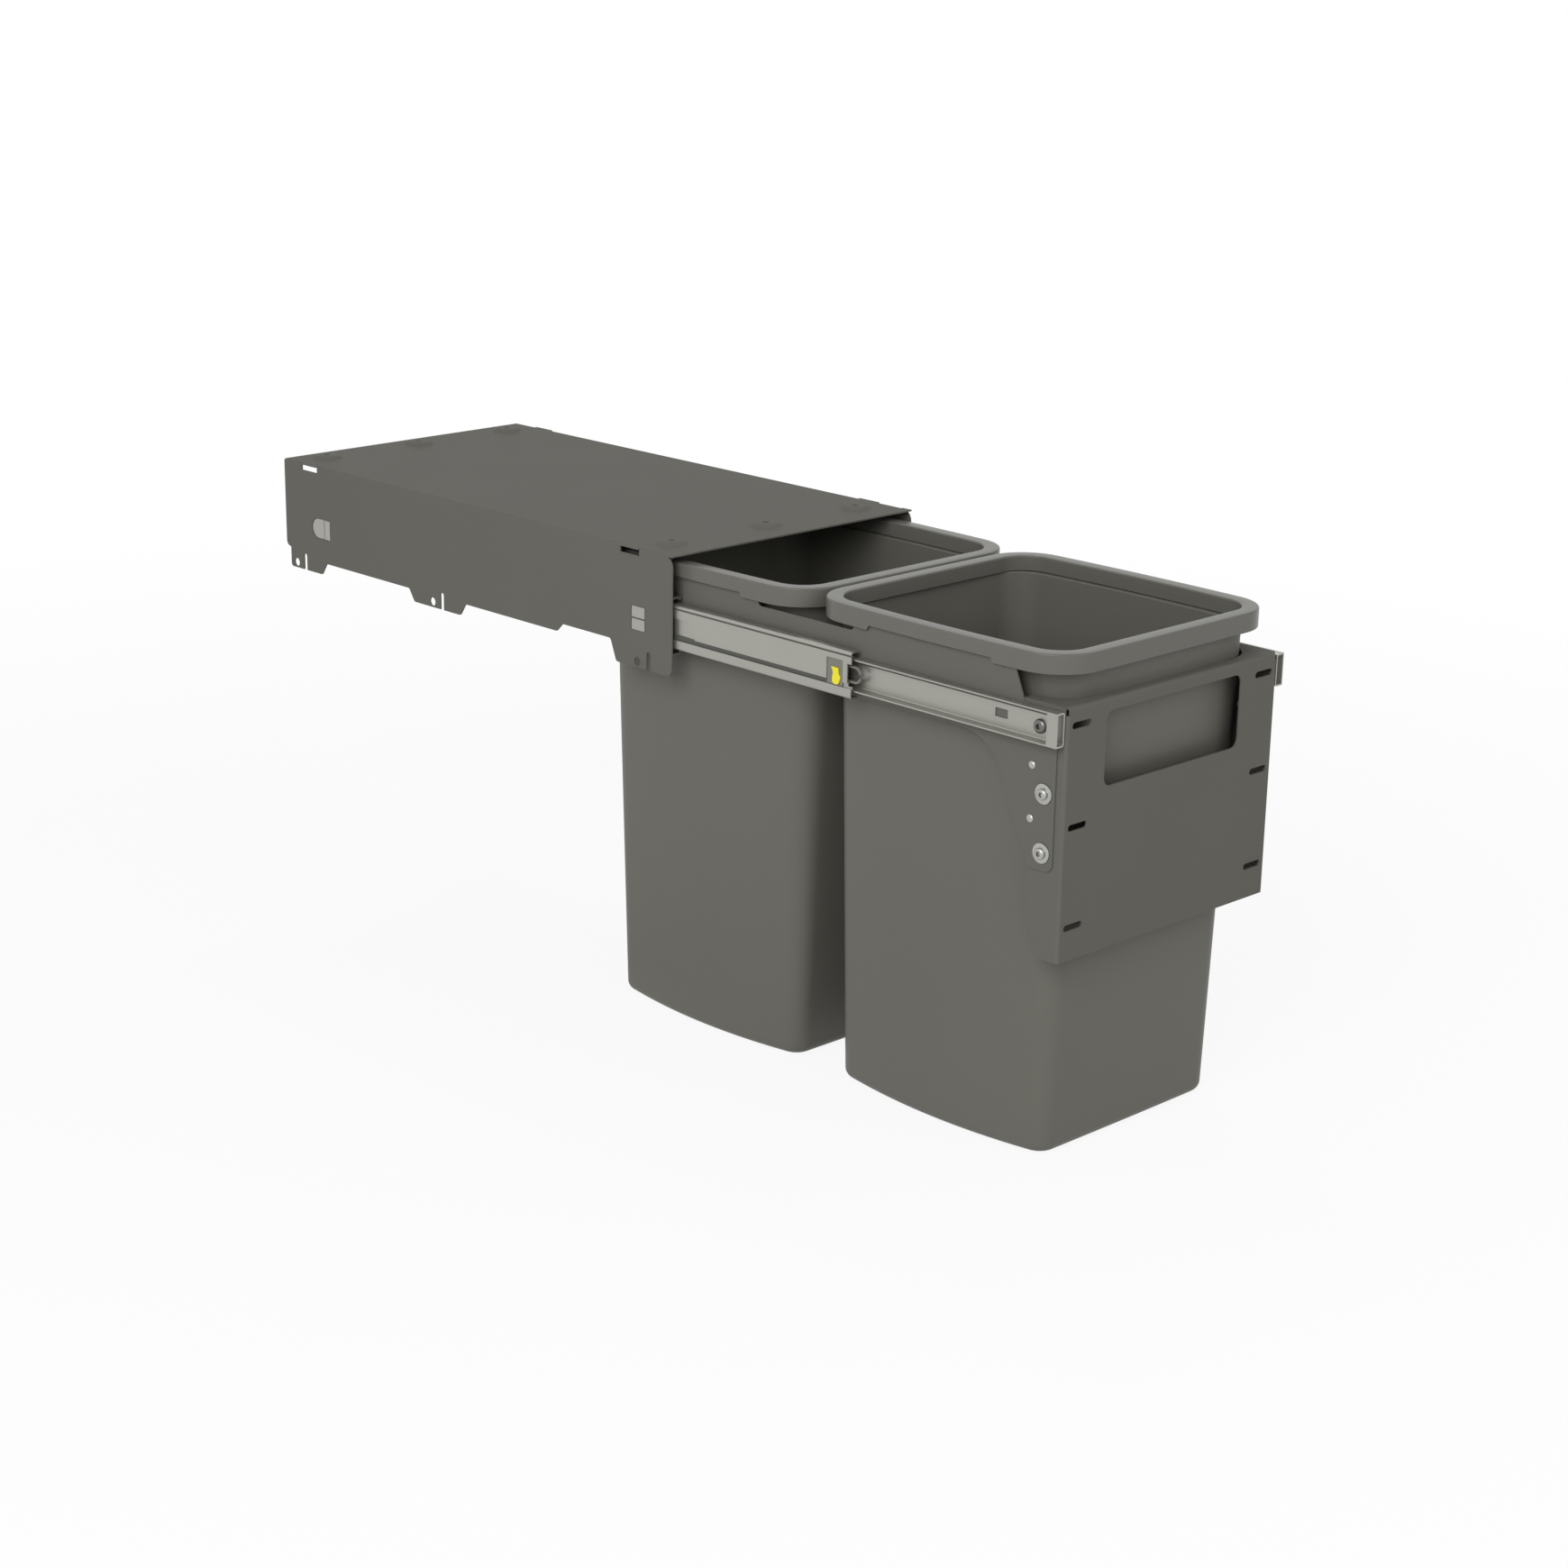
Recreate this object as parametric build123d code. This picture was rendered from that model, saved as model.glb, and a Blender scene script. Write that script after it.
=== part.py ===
from build123d import *
import math
import os

# Pull-out waste unit: a folded steel cover carries two ball slides, and a drawer frame on them
# holds two lift-out buckets.  Millimetres, +Z up, the front faces -Y.  The origin is the middle
# of the top screw pattern, in the plane of the raised bosses.  The drawer is part way out.
# "back" is a distance behind the cover's front edge, "depth" a distance below its top face.

# --- cover: one folded sheet with six raised screw bosses ------------------------------------
COVER_WIDTH = 264.0
COVER_LENGTH = 506.0
COVER_SHEET = 1.2
COVER_BEND = 1.0             # inside radius of the folded edges
BOSS_PITCH_X = 101.5         # middle column to a side column
BOSS_PITCH_Y = 450.0
BOSS_FRONT = 34.5            # front edge to the front row
BOSS_HEIGHT = 2.5
BOSS_FOOT_R = 14.0
BOSS_TOP_R = 9.5
BOSS_HOLE_R = 2.6
FLANGE_FRONT_R = 10.0        # rounded upper front corner of a side flange
EDGE_TAB_REACH = 1.2         # flat tabs that stand out past the side flanges
EDGE_TAB_LENGTH = 22.0
EDGE_TAB_INSETS = (38.0, 458.0)
EDGE_SLOT_DEPTH = 6.2
FLANGE_DEPTH = 84.5
FLANGE_END_DEPTH = 77.5      # shallower stretches at both ends of the flange
FLANGE_STEP = 130.0          # where the front shallow stretch ends
LOBE_DEPTH = 95.0
LOBE_HOLE_BACKS = (39.8, 298.0, 491.5)
LOBE_HOLE_DEPTH = 90.3
LOBE_HOLE_R = 2.25
LOBE_AHEAD = 37.0            # a lobe's reach in front of its hole
LOBE_BEHIND = 25.0           # and behind it
LOBE_SLOPE = 7.0
REAR_LOBE_BEHIND = 8.5
LOBE_SLOT_AHEAD = 12.8
LOBE_SLOT_WIDTH = 4.5
LOBE_SLOT_DEPTH = 80.5
LOBE_R = 3.0

# --- ball slides ------------------------------------------------------------------------------
SLIDE_DEPTH = 55.8           # the slides' centre line
SLIDE_THICKNESS = 12.7
SLIDE_SHEET = 1.2
SLIDE_BEND = 1.0
OUTER_HEIGHT = 45.5
MIDDLE_HEIGHT = 35.4
INNER_HEIGHT = 24.6
OUTER_LENGTH = 500.0
OUTER_SETBACK = 2.0
MIDDLE_LENGTH = 486.0
INNER_LENGTH = 490.0
OUTER_REACH = 9.8
MIDDLE_REACH = 7.6
INNER_REACH = 8.6
WEB_GAP = 0.5                # between the outer and the middle member's webs
LIP_HEIGHT = 1.4
BAND_TOP = 7.3               # pressed band of the middle member's web
BAND_BOTTOM = -9.9
BAND_GROOVE = 3.6
BAND_STEP = 1.2
BAND_RAMP = 13.0
BAND_REAR = 178.0            # middle member's front end to the end of its raised pad
HOOK_INSETS = (27.0, 447.0)  # outer member's front end to the hooks' middles
HOOK_LENGTH = 15.0
HOOK_HEIGHT = 8.8
HOOK_GAP = 1.2
HOOK_CLEARANCE = 0.8
INNER_HOLE = (11.6, 6.4)
INNER_HOLE_INSET = 56.4
INNER_END_TAB = 9.0
RACE_CLEARANCE = 0.25
BALLS_PER_ROW = 4
BALL_U = 6.2                 # balls' centres, inwards from the cover's flange
RETAINER_LENGTH = 225.0
RETAINER_SHEET = 0.8
RETAINER_WIDTH = 4.6
RETAINER_END_GAP = 5.0       # to the member's end, with the drawer fully out
BALL_END_INSET = 8.0
BALL_HOLE_CLEARANCE = 0.15
BUMPER_SIZE = (6.4, 7.5, 20.0)
END_WINDOW = (16.4, 20.0)
END_WINDOW_INSET = 8.5
END_NOTCH = (4.0, 17.0)
END_PIECE_U = 7.8
END_PIECE_SETBACK = 10.5     # middle member's front end to the moulding's body
END_ARM_U = 5.6              # its two arms pass under the inner member's end tab
END_LOOP_R = 6.5
END_LOOP_WALL = 1.6
END_LOOP_GAP = 3.0
LATCH_HEIGHT = 12.5
LATCH_WIDTH = 6.2
LATCH_INSET = 10.8           # middle member's front end to the latch insert's front
LATCH_PROUD = 0.2

# --- where the drawer stands -------------------------------------------------------------------
DRAWER_OUT = 383.0           # from closed to the place modelled
FULL_TRAVEL = 500.0
MIDDLE_RATIO = 0.5           # middle member's travel for each millimetre of the drawer's

# --- side plates and rear tie --------------------------------------------------------------------
PLATE_SHEET = 1.2
PLATE_TOP_DEPTH = 25.3
PLATE_BOTTOM_DEPTH = 74.0
PLATE_REAR_BACK = 119.5
TONGUE_HALF = 76.0           # half length of the tongue that carries a bucket
NOSE_RUN = 13.5              # tongue's front end to the nose's foot
NOSE_DEPTH = 44.0
LEG_SETBACK = 7.5            # panel's front face to the leg's front edge
LEG_WIDTH = 22.5
LEG_DEPTH = 161.5
LEG_RUN = 38.6               # how far the leg's rear edge slants back
LEG_ROOT_R = 40.0
LEG_TIP_R = 7.0
TIE_SHEET = 1.2
TIE_BEND = 1.0
TIE_SETBACK = 2.5            # plates' rear end to the tie's rear face
TIE_TOP_DEPTH = 31.0
TIE_HEIGHT = 36.0
TIE_TAB = 18.0

# --- door bracket --------------------------------------------------------------------------------
BRACKET_SHEET = 1.5
BRACKET_BEND = 1.1           # inside radius of the folded edges
PANEL_TOP_DEPTH = 41.0
PANEL_HEIGHT = 185.5
PANEL_AHEAD = 1.5            # panel's front face ahead of the slides' front end
ARM_LENGTH = 40.0
ARM_WIDTH = 12.0
SHELF_WIDTH = 27.0           # at the arms; the bucket's clearance narrows its middle
SHELF_CLEARANCE = 1.7
SIDE_FLANGE_WIDTH = 31.5
FLANGE_NARROW_DEPTH = 138.0
FLANGE_NARROW_RUN = 18.0
FLANGE_CHAMFER = (12.0, 23.0)
CORNER_RELIEF_R = 1.5
WINDOW_SIZE = (150.5, 55.0)
WINDOW_TOP = 9.3
WINDOW_R = 7.0
SLOT_PITCH_X = 203.0
SLOT_PITCH_Z = 73.6
SLOT_ROWS = 3
SLOT_TOP = 13.6
SLOT_LENGTH = 20.0
SLOT_WIDTH = 5.0

# --- fasteners ---------------------------------------------------------------------------------
SLIDE_SCREW_INSETS = (20.2, 237.0, 449.0)
SLIDE_SCREW_DROP = 1.5       # below the slides' centre line
SLIDE_SCREW_R = 2.9
SLIDE_HEAD_R = 5.2
SLIDE_HEAD_HEIGHT = 3.0
HOLE_CLEARANCE = 0.3
SOCKET_R = 2.0
SOCKET_DEPTH = 1.6
NUT_R = 5.0
NUT_HEIGHT = 4.0
SCREW_END = 1.5              # thread past the nut
ADJUST_DEPTHS = (105.4, 148.4)
ADJUST_SETBACK = 17.4        # behind the panel's front face
ADJUST_WASHER_R = 7.5
ADJUST_WASHER = 1.2
ADJUST_HEAD_R = 4.8
ADJUST_HEAD = 2.6
ADJUST_R = 2.5
RIVET_DEPTHS = (87.0, 125.8)
RIVET_SETBACK = 29.2
RIVET_R = 1.9
RIVET_HEAD_R = 3.1
RIVET_HEAD = 1.3
TIE_RIVET_EDGE = 8.0
TIE_RIVET_SETBACK = 6.0      # tie's rear face to its rivets

# --- buckets and their rim rings -----------------------------------------------------------------
BUCKET_FRONT_BACK = -256.8
BUCKET_PITCH = 253.0
RIM_HALF_X = 121.8
RIM_HALF_Y = 124.0
RIM_BOW = 3.5                # how far the long sides bulge
RIM_R = 40.0
RIM_DEPTH = 7.0
RIM_TOP_WIDTH = 12.5
RIM_WALL = 1.8
RIM_SKIRT = 14.6
RIM_NOTCH = 3.6              # the skirt is shorter along its middle
RIM_NOTCH_HALF = 60.0
RIM_INNER_SKIRT = 12.0
RIM_EDGE_R = 1.4
RING_CLEARANCE = 0.4
SEAT_CLEARANCE = 0.3
BUCKET_FLANGE = 2.2
BUCKET_WALL = 2.0
NECK_WALL = 2.0
BODY_TOP_DEPTH = 22.0
BODY_HALF_X = 109.0
BODY_HALF_Y = 112.0
BODY_BOW = 5.0
BODY_FRONT_BOW = 5.0         # how far the front and back bulge at the top
BODY_R = 33.0
BASE_DEPTH = 388.0
BASE_HALF_X = 102.6
BASE_HALF_Y = 102.8
BASE_BOW = 10.2
BASE_R = 13.0
BASE_EDGE_R = 8.0
BASE_EDGE_STEPS = 4
BASE_WALL = 2.4
LEAST_BOW = 0.5              # straightest that a moulded side is

# --- places worked out from the sizes above -----------------------------------------------------
FRONT_Y = -(BOSS_FRONT + BOSS_PITCH_Y / 2)
TOP_Z = -BOSS_HEIGHT
HALF_WIDTH = COVER_WIDTH / 2
WALL_X = HALF_WIDTH - COVER_SHEET                   # inside face of the cover's flanges
PLATE_X = WALL_X - SLIDE_THICKNESS                  # slides' drawer face, plates' outside
BRACKET_X = PLATE_X - PLATE_SHEET                   # plates' inside, bracket's outside
INNER_FRONT = -DRAWER_OUT
MIDDLE_FRONT = OUTER_SETBACK - DRAWER_OUT * MIDDLE_RATIO
PANEL_FRONT = INNER_FRONT - PANEL_AHEAD
MIDDLE_U = SLIDE_SHEET + WEB_GAP                    # middle web's outside face
INNER_U = SLIDE_THICKNESS - SLIDE_SHEET             # inner web's outside face
OUTER_SPACE = OUTER_HEIGHT / 2 - SLIDE_SHEET        # half height inside the outer member
MIDDLE_SPACE = MIDDLE_HEIGHT / 2 - SLIDE_SHEET
FLANGE_TOP_DEPTH = RIM_DEPTH + RIM_WALL + SEAT_CLEARANCE
TONGUE_DEPTH = FLANGE_TOP_DEPTH + BUCKET_FLANGE + SEAT_CLEARANCE
BUCKET_BACKS = {"front": BUCKET_FRONT_BACK, "back": BUCKET_FRONT_BACK + BUCKET_PITCH}
SIDES = {"left": -1, "right": 1}
CENTRE_MIN = (Align.CENTER, Align.CENTER, Align.MIN)


def y_at(back):
    """Y of a point that lies so far behind the cover's front edge."""
    return FRONT_Y + back


def z_at(depth):
    """Z of a point that lies so far below the cover's top face."""
    return TOP_Z - depth


def block(x_range, back_range, depth_range):
    """Box between two x values, two distances back and two depths."""
    (x0, x1), (b0, b1), (d0, d1) = x_range, back_range, depth_range
    middle = ((x0 + x1) / 2, y_at((b0 + b1) / 2), z_at((d0 + d1) / 2))
    return Pos(*middle) * Box(abs(x1 - x0), abs(b1 - b0), abs(d1 - d0))


def side_plate_shape(outline, x0, thickness):
    """Plate from x0 outwards; outline holds (back, depth, corner radius) points."""
    points = [(y_at(back), z_at(depth)) for back, depth, radius in outline]
    wire = FilletPolyline(*points, radius=[radius for back, depth, radius in outline], close=True)
    return Pos(x0, 0, 0) * extrude(Plane.YZ * make_face(wire), thickness)


def pin(radius, x0, x1, back, depth):
    """Round bar along X from x0 to x1."""
    bar = Cylinder(radius, abs(x1 - x0), align=CENTRE_MIN)
    return Pos(min(x0, x1), y_at(back), z_at(depth)) * Rot(0, 90, 0) * bar


def on_side(shape, side):
    """The shape as built on the left, or its mirror image on the right."""
    return shape if side < 0 else mirror(shape, Plane.YZ)


def left_x(u):
    """X on the left of a point that lies so far inwards from the cover's flange."""
    return -WALL_X + u


# --- cover -------------------------------------------------------------------------------------
def flange_outline():
    """(back, depth, radius) outline of the cover's side flanges with their screw lobes."""
    front, middle, rear = LOBE_HOLE_BACKS
    small = LOBE_R
    points = [(0, 0, FLANGE_FRONT_R), (COVER_LENGTH, 0, 0), (COVER_LENGTH, FLANGE_END_DEPTH, 5)]
    points += [(rear + REAR_LOBE_BEHIND, FLANGE_END_DEPTH, 1), (rear + REAR_LOBE_BEHIND, LOBE_DEPTH, small)]
    points += [(rear - LOBE_AHEAD, LOBE_DEPTH, small), (rear - LOBE_AHEAD - LOBE_SLOPE, FLANGE_DEPTH, small)]
    points += [(middle + LOBE_BEHIND + LOBE_SLOPE, FLANGE_DEPTH, small)]
    points += [(middle + LOBE_BEHIND, LOBE_DEPTH, small), (middle - LOBE_AHEAD, LOBE_DEPTH, small)]
    points += [(middle - LOBE_AHEAD - LOBE_SLOPE, FLANGE_DEPTH, small)]
    points += [(FLANGE_STEP + LOBE_SLOPE, FLANGE_DEPTH, small), (FLANGE_STEP, FLANGE_END_DEPTH, small)]
    points += [(front + LOBE_BEHIND + LOBE_SLOPE, FLANGE_END_DEPTH, small)]
    points += [(front + LOBE_BEHIND, LOBE_DEPTH, small), (0, LOBE_DEPTH, 2 * small)]
    return points


def folded_section(width, depth, sheet, bend):
    """U section that hangs from y = 0, with rounded bends at its top corners."""
    outside = Pos(0, -depth / 2) * Rectangle(width, depth)
    inside = Pos(0, -depth / 2 - sheet) * Rectangle(width - 2 * sheet, depth)
    outside = fillet(outside.vertices().group_by(Axis.Y)[-1], bend + sheet)
    inside = fillet(inside.vertices().group_by(Axis.Y)[-1], bend)
    return outside - inside


def hook_places():
    """(back, depth) of the middles of the slide hooks in one cover flange."""
    front, rear = [OUTER_SETBACK + inset for inset in HOOK_INSETS]
    rise = (HOOK_HEIGHT + HOOK_GAP) / 2
    return [(front + back, SLIDE_DEPTH + drop) for back in (10.0,) for drop in (-rise, rise)] + [
        (rear, SLIDE_DEPTH)]


def boss_places():
    """(x, back) of the six screw bosses."""
    return [(column * BOSS_PITCH_X, BOSS_FRONT + row * BOSS_PITCH_Y)
            for row in (0, 1) for column in (-1, 0, 1)]


def cover_frame():
    """Folded cover with bosses, edge tabs, hook windows and screw lobes."""
    section = folded_section(COVER_WIDTH, LOBE_DEPTH, COVER_SHEET, COVER_BEND)
    channel = Pos(0, y_at(COVER_LENGTH), TOP_Z) * extrude(Plane.XZ * section, COVER_LENGTH)
    cover = channel & side_plate_shape(flange_outline(), -HALF_WIDTH, COVER_WIDTH)
    cover += block((-HALF_WIDTH, HALF_WIDTH), (0, FLANGE_FRONT_R), (0, COVER_SHEET))
    bend = COVER_SHEET + COVER_BEND
    for side in SIDES.values():
        edge = (side * (HALF_WIDTH - bend), side * (HALF_WIDTH + EDGE_TAB_REACH))
        for back in EDGE_TAB_INSETS:
            stretch = (back, back + EDGE_TAB_LENGTH)
            cover -= block(edge, stretch, (-1, EDGE_SLOT_DEPTH))
            cover += block(edge, stretch, (0, COVER_SHEET))
        wall = (side * (WALL_X - 1), side * (HALF_WIDTH + 1))
        for back in LOBE_HOLE_BACKS:
            cover -= pin(LOBE_HOLE_R, *wall, back, LOBE_HOLE_DEPTH)
            slot = back - LOBE_SLOT_AHEAD
            cover -= pin(LOBE_SLOT_WIDTH / 2, *wall, slot, LOBE_SLOT_DEPTH + LOBE_SLOT_WIDTH / 2)
            cover -= block(wall, (slot - LOBE_SLOT_WIDTH / 2, slot + LOBE_SLOT_WIDTH / 2),
                           (LOBE_SLOT_DEPTH + LOBE_SLOT_WIDTH / 2, LOBE_DEPTH + 1))
        for back, depth in hook_places():
            reach = HOOK_LENGTH / 2 + HOOK_CLEARANCE
            rise = HOOK_HEIGHT / 2 + HOOK_GAP / 4
            cover -= block(wall, (back - reach, back + reach), (depth - rise, depth + rise))
    dome = Cone(BOSS_FOOT_R, BOSS_TOP_R, BOSS_HEIGHT, align=CENTRE_MIN)
    for x, back in boss_places():
        foot = Pos(x, y_at(back), TOP_Z)
        cover += foot * dome
        cover -= Pos(0, 0, -COVER_SHEET) * foot * dome
        cover -= foot * Cylinder(BOSS_HOLE_R, 4 * BOSS_HEIGHT)
    return cover


# --- ball slides -----------------------------------------------------------------------------------
def member_section(height, web_u, reach, lip=0.0):
    """C section in (u, height) with its web at web_u and its flanges towards +u."""
    outside = Pos(web_u + reach / 2, 0) * Rectangle(reach, height)
    inside = Pos(web_u + SLIDE_SHEET + reach / 2, 0) * Rectangle(reach, height - 2 * SLIDE_SHEET)
    outside = fillet(outside.vertices().group_by(Axis.X)[0], SLIDE_BEND + SLIDE_SHEET)
    inside = fillet(inside.vertices().group_by(Axis.X)[0], SLIDE_BEND)
    section = outside - inside
    if lip:
        for end in (-1, 1):
            middle = end * (height / 2 - SLIDE_SHEET - lip / 2)
            section += Pos(web_u + reach - SLIDE_SHEET / 2, middle) * Rectangle(SLIDE_SHEET, lip)
    return section


def left_member(section, front, length):
    """Extrude a (u, height) section along the left slide, from its front end."""
    solid = extrude(Plane.XZ * section, length)
    return Pos(left_x(0), y_at(front + length), z_at(SLIDE_DEPTH)) * solid


def slide_block(u_range, back_range, rise_range):
    """Box in the left slide: inwards, back, and up from the slide's centre line."""
    us = tuple(left_x(u) for u in u_range)
    return block(us, back_range, tuple(SLIDE_DEPTH - rise for rise in rise_range))


def slide_outer(side):
    """Fixed member: a C section with lips, and hooks through the cover's windows."""
    member = left_member(member_section(OUTER_HEIGHT, 0, OUTER_REACH, LIP_HEIGHT), OUTER_SETBACK, OUTER_LENGTH)
    for back, depth in hook_places():
        rise = SLIDE_DEPTH - depth
        member += slide_block((-COVER_SHEET, 0.2), (back - HOOK_LENGTH / 2, back + HOOK_LENGTH / 2),
                              (rise - HOOK_HEIGHT / 2, rise + HOOK_HEIGHT / 2))
    return on_side(member, side)


def slide_middle(side):
    """Middle member: its web has a pressed band, a groove and a window for the end piece."""
    front, rear = MIDDLE_FRONT, MIDDLE_FRONT + MIDDLE_LENGTH
    ramp_end = front + BAND_REAR
    ramp = ramp_end - BAND_RAMP
    member = left_member(member_section(MIDDLE_HEIGHT, MIDDLE_U, MIDDLE_REACH), front, MIDDLE_LENGTH)
    web = (MIDDLE_U, MIDDLE_U + SLIDE_SHEET)
    floor = (MIDDLE_U + BAND_STEP, MIDDLE_U + BAND_STEP + SLIDE_SHEET)
    groove = (BAND_BOTTOM, BAND_BOTTOM + BAND_GROOVE)
    member += slide_block((web[0], floor[1]), (front, rear), (BAND_BOTTOM - SLIDE_SHEET, BAND_TOP + SLIDE_SHEET))
    member -= slide_block((web[0] - 1, floor[0]), (front - 1, rear + 1), groove)
    member -= slide_block((web[0] - 1, floor[0]), (ramp_end, rear + 1), (BAND_BOTTOM, BAND_TOP))
    member -= slide_block((web[1], floor[1] + 1), (front - 1, ramp), (groove[1] + SLIDE_SHEET, BAND_TOP + SLIDE_SHEET))
    slope = [(left_x(web[0]), y_at(ramp)), (left_x(floor[0]), y_at(ramp_end)), (left_x(web[0]), y_at(ramp_end))]
    wedge = extrude(make_face(Polyline(*slope, close=True)), BAND_TOP - groove[1])
    member -= Pos(0, 0, z_at(SLIDE_DEPTH) + groove[1]) * wedge
    window = front + END_WINDOW_INSET
    half = END_WINDOW[1] / 2
    member -= slide_block((0, floor[1] + 1), (window, window + END_WINDOW[0]), (-half, half))
    notch_bottom = -END_NOTCH[1] / 2
    member -= slide_block((0, floor[1] + 1), (front - 1, front + END_NOTCH[0]), (notch_bottom, -notch_bottom))
    return on_side(member, side)


def slide_inner(side):
    """Drawer member: a C section that opens outwards, screwed to the side plate."""
    section = mirror(member_section(INNER_HEIGHT, -SLIDE_THICKNESS, INNER_REACH), Plane.YZ)
    member = left_member(section, INNER_FRONT, INNER_LENGTH)
    hole = INNER_FRONT + INNER_HOLE_INSET
    rise = INNER_HOLE[1] / 2
    member -= slide_block((INNER_U - 1, SLIDE_THICKNESS + 1), (hole - INNER_HOLE[0] / 2, hole + INNER_HOLE[0] / 2),
                          (-rise, rise))
    for back in slide_screw_backs():
        member -= pin(SLIDE_SCREW_R + HOLE_CLEARANCE, left_x(INNER_U - 1), left_x(SLIDE_THICKNESS + 1),
                      back, SLIDE_DEPTH + SLIDE_SCREW_DROP)
    edge = SLIDE_THICKNESS - INNER_REACH
    end = INNER_HEIGHT / 2 - SLIDE_SHEET
    member += slide_block((edge, edge + SLIDE_SHEET), (INNER_FRONT, INNER_FRONT + INNER_END_TAB), (-end, end))
    return on_side(member, side)


def ball_cage(side, front, inner_space, outer_half):
    """Two retainer strips with the balls that run between two members' flanges."""
    radius = (inner_space - outer_half) / 2 - RACE_CLEARANCE
    middle = (inner_space + outer_half) / 2
    pitch = (RETAINER_LENGTH - 2 * BALL_END_INSET) / (BALLS_PER_ROW - 1)
    solids = []
    for end in (-1, 1):
        strip = slide_block((BALL_U - RETAINER_WIDTH / 2, BALL_U + RETAINER_WIDTH / 2),
                            (front, front + RETAINER_LENGTH),
                            (end * middle - RETAINER_SHEET / 2, end * middle + RETAINER_SHEET / 2))
        places = [Pos(left_x(BALL_U), y_at(front + BALL_END_INSET + n * pitch), z_at(SLIDE_DEPTH) + end * middle)
                  for n in range(BALLS_PER_ROW)]
        for place in places:
            strip -= place * Cylinder(radius + BALL_HOLE_CLEARANCE, 2 * RETAINER_SHEET)
        solids += [strip] + [place * Sphere(radius) for place in places]
    return [on_side(solid, side) for solid in solids]


def ball_cage_outer(side):
    """Cage between the outer and the middle member, which moves a quarter of the travel."""
    spare = (FULL_TRAVEL - DRAWER_OUT) * MIDDLE_RATIO / 2
    return ball_cage(side, OUTER_SETBACK + RETAINER_END_GAP + spare, OUTER_SPACE, MIDDLE_HEIGHT / 2)


def ball_cage_inner(side):
    """Cage between the middle and the inner member, which moves three quarters of the travel."""
    full_front = OUTER_SETBACK - FULL_TRAVEL * MIDDLE_RATIO + RETAINER_END_GAP
    spare = (FULL_TRAVEL - DRAWER_OUT) * (1 + MIDDLE_RATIO) / 2
    return ball_cage(side, full_front + spare, MIDDLE_SPACE, INNER_HEIGHT / 2)


def slide_bumper(side):
    """Moulded stop at the rear end of the outer member."""
    width, length, height = BUMPER_SIZE
    rear = OUTER_SETBACK + OUTER_LENGTH
    bumper = slide_block((SLIDE_SHEET, SLIDE_SHEET + width), (rear - length, rear), (-height / 2, height / 2))
    bumper = fillet(bumper.edges().filter_by(Axis.X), 2)
    return on_side(bumper, side)


def latch_outline():
    """Plan of the latch insert as (back, depth, radius): a stem with a hook and a belly."""
    front = MIDDLE_FRONT + LATCH_INSET
    bottom = SLIDE_DEPTH + END_WINDOW[1] / 2 - 0.9
    top = bottom - LATCH_HEIGHT
    wide = front + LATCH_WIDTH
    return [(front + 1.6, top, 0.6), (wide + 1.0, top - 0.2, 0.4), (wide, top + 1.8, 0.4),
            (wide - 0.6, top + 4.6, 0.6), (wide, top + 7.0, 0.6), (wide, bottom - 1.4, 0.4),
            (wide - 1.6, bottom, 0.4), (front + 2.0, bottom, 0.6), (front + 1.0, bottom - 1.6, 0.6),
            (front, top + 6.6, 0.6), (front + 1.6, top + 4.2, 0.6)]


def slide_end_piece(side):
    """Moulded piece in the middle member's front end: a plate, a split loop and a latch pocket."""
    front = MIDDLE_FRONT
    web = MIDDLE_U + BAND_STEP + SLIDE_SHEET
    half = END_WINDOW[1] / 2 - SEAT_CLEARANCE
    window = (front + END_WINDOW_INSET + SEAT_CLEARANCE, front + END_WINDOW_INSET + END_WINDOW[0] - SEAT_CLEARANCE)
    piece = slide_block((MIDDLE_U + 0.4, web), window, (-half, half))
    body = front + END_PIECE_SETBACK
    piece += slide_block((web, END_PIECE_U), (body, window[1] + 3), (-half, half))
    loop = Circle(END_LOOP_R) + Pos(0, END_PIECE_SETBACK / 2) * Rectangle(2 * END_LOOP_R, END_PIECE_SETBACK)
    bore = END_LOOP_R - END_LOOP_WALL
    loop -= Circle(bore) + Pos(0, END_PIECE_SETBACK / 2) * Rectangle(2 * bore, END_PIECE_SETBACK)
    loop -= Pos(0, -END_LOOP_R) * Rectangle(END_LOOP_GAP, 2 * END_LOOP_R)
    loop = Rot(0, 90, 0) * extrude(loop, END_PIECE_U - END_ARM_U)
    piece += Pos(left_x(END_ARM_U), y_at(front), z_at(SLIDE_DEPTH)) * loop
    pocket = side_plate_shape(latch_outline(), left_x(0), web + 0.8)
    return on_side(piece - offset(pocket, SEAT_CLEARANCE / 2), side)


def latch_insert(side):
    """Coloured catch in the end piece's pocket."""
    start = MIDDLE_U - LATCH_PROUD
    insert = side_plate_shape(latch_outline(), left_x(start), MIDDLE_U + BAND_STEP + SLIDE_SHEET + 0.8 - start)
    return on_side(insert, side)


# --- drawer frame ------------------------------------------------------------------------------
def slide_screw_backs():
    """Distances back of the screws that hold an inner member to its side plate."""
    return [INNER_FRONT + inset for inset in SLIDE_SCREW_INSETS]


def adjust_places():
    """(back, depth) of the screws that hold the door bracket to a side plate."""
    return [(PANEL_FRONT + ADJUST_SETBACK, depth) for depth in ADJUST_DEPTHS]


def bracket_rivet_places():
    """(back, depth) of the rivets through a plate's leg."""
    return [(PANEL_FRONT + RIVET_SETBACK, depth) for depth in RIVET_DEPTHS]


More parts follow.
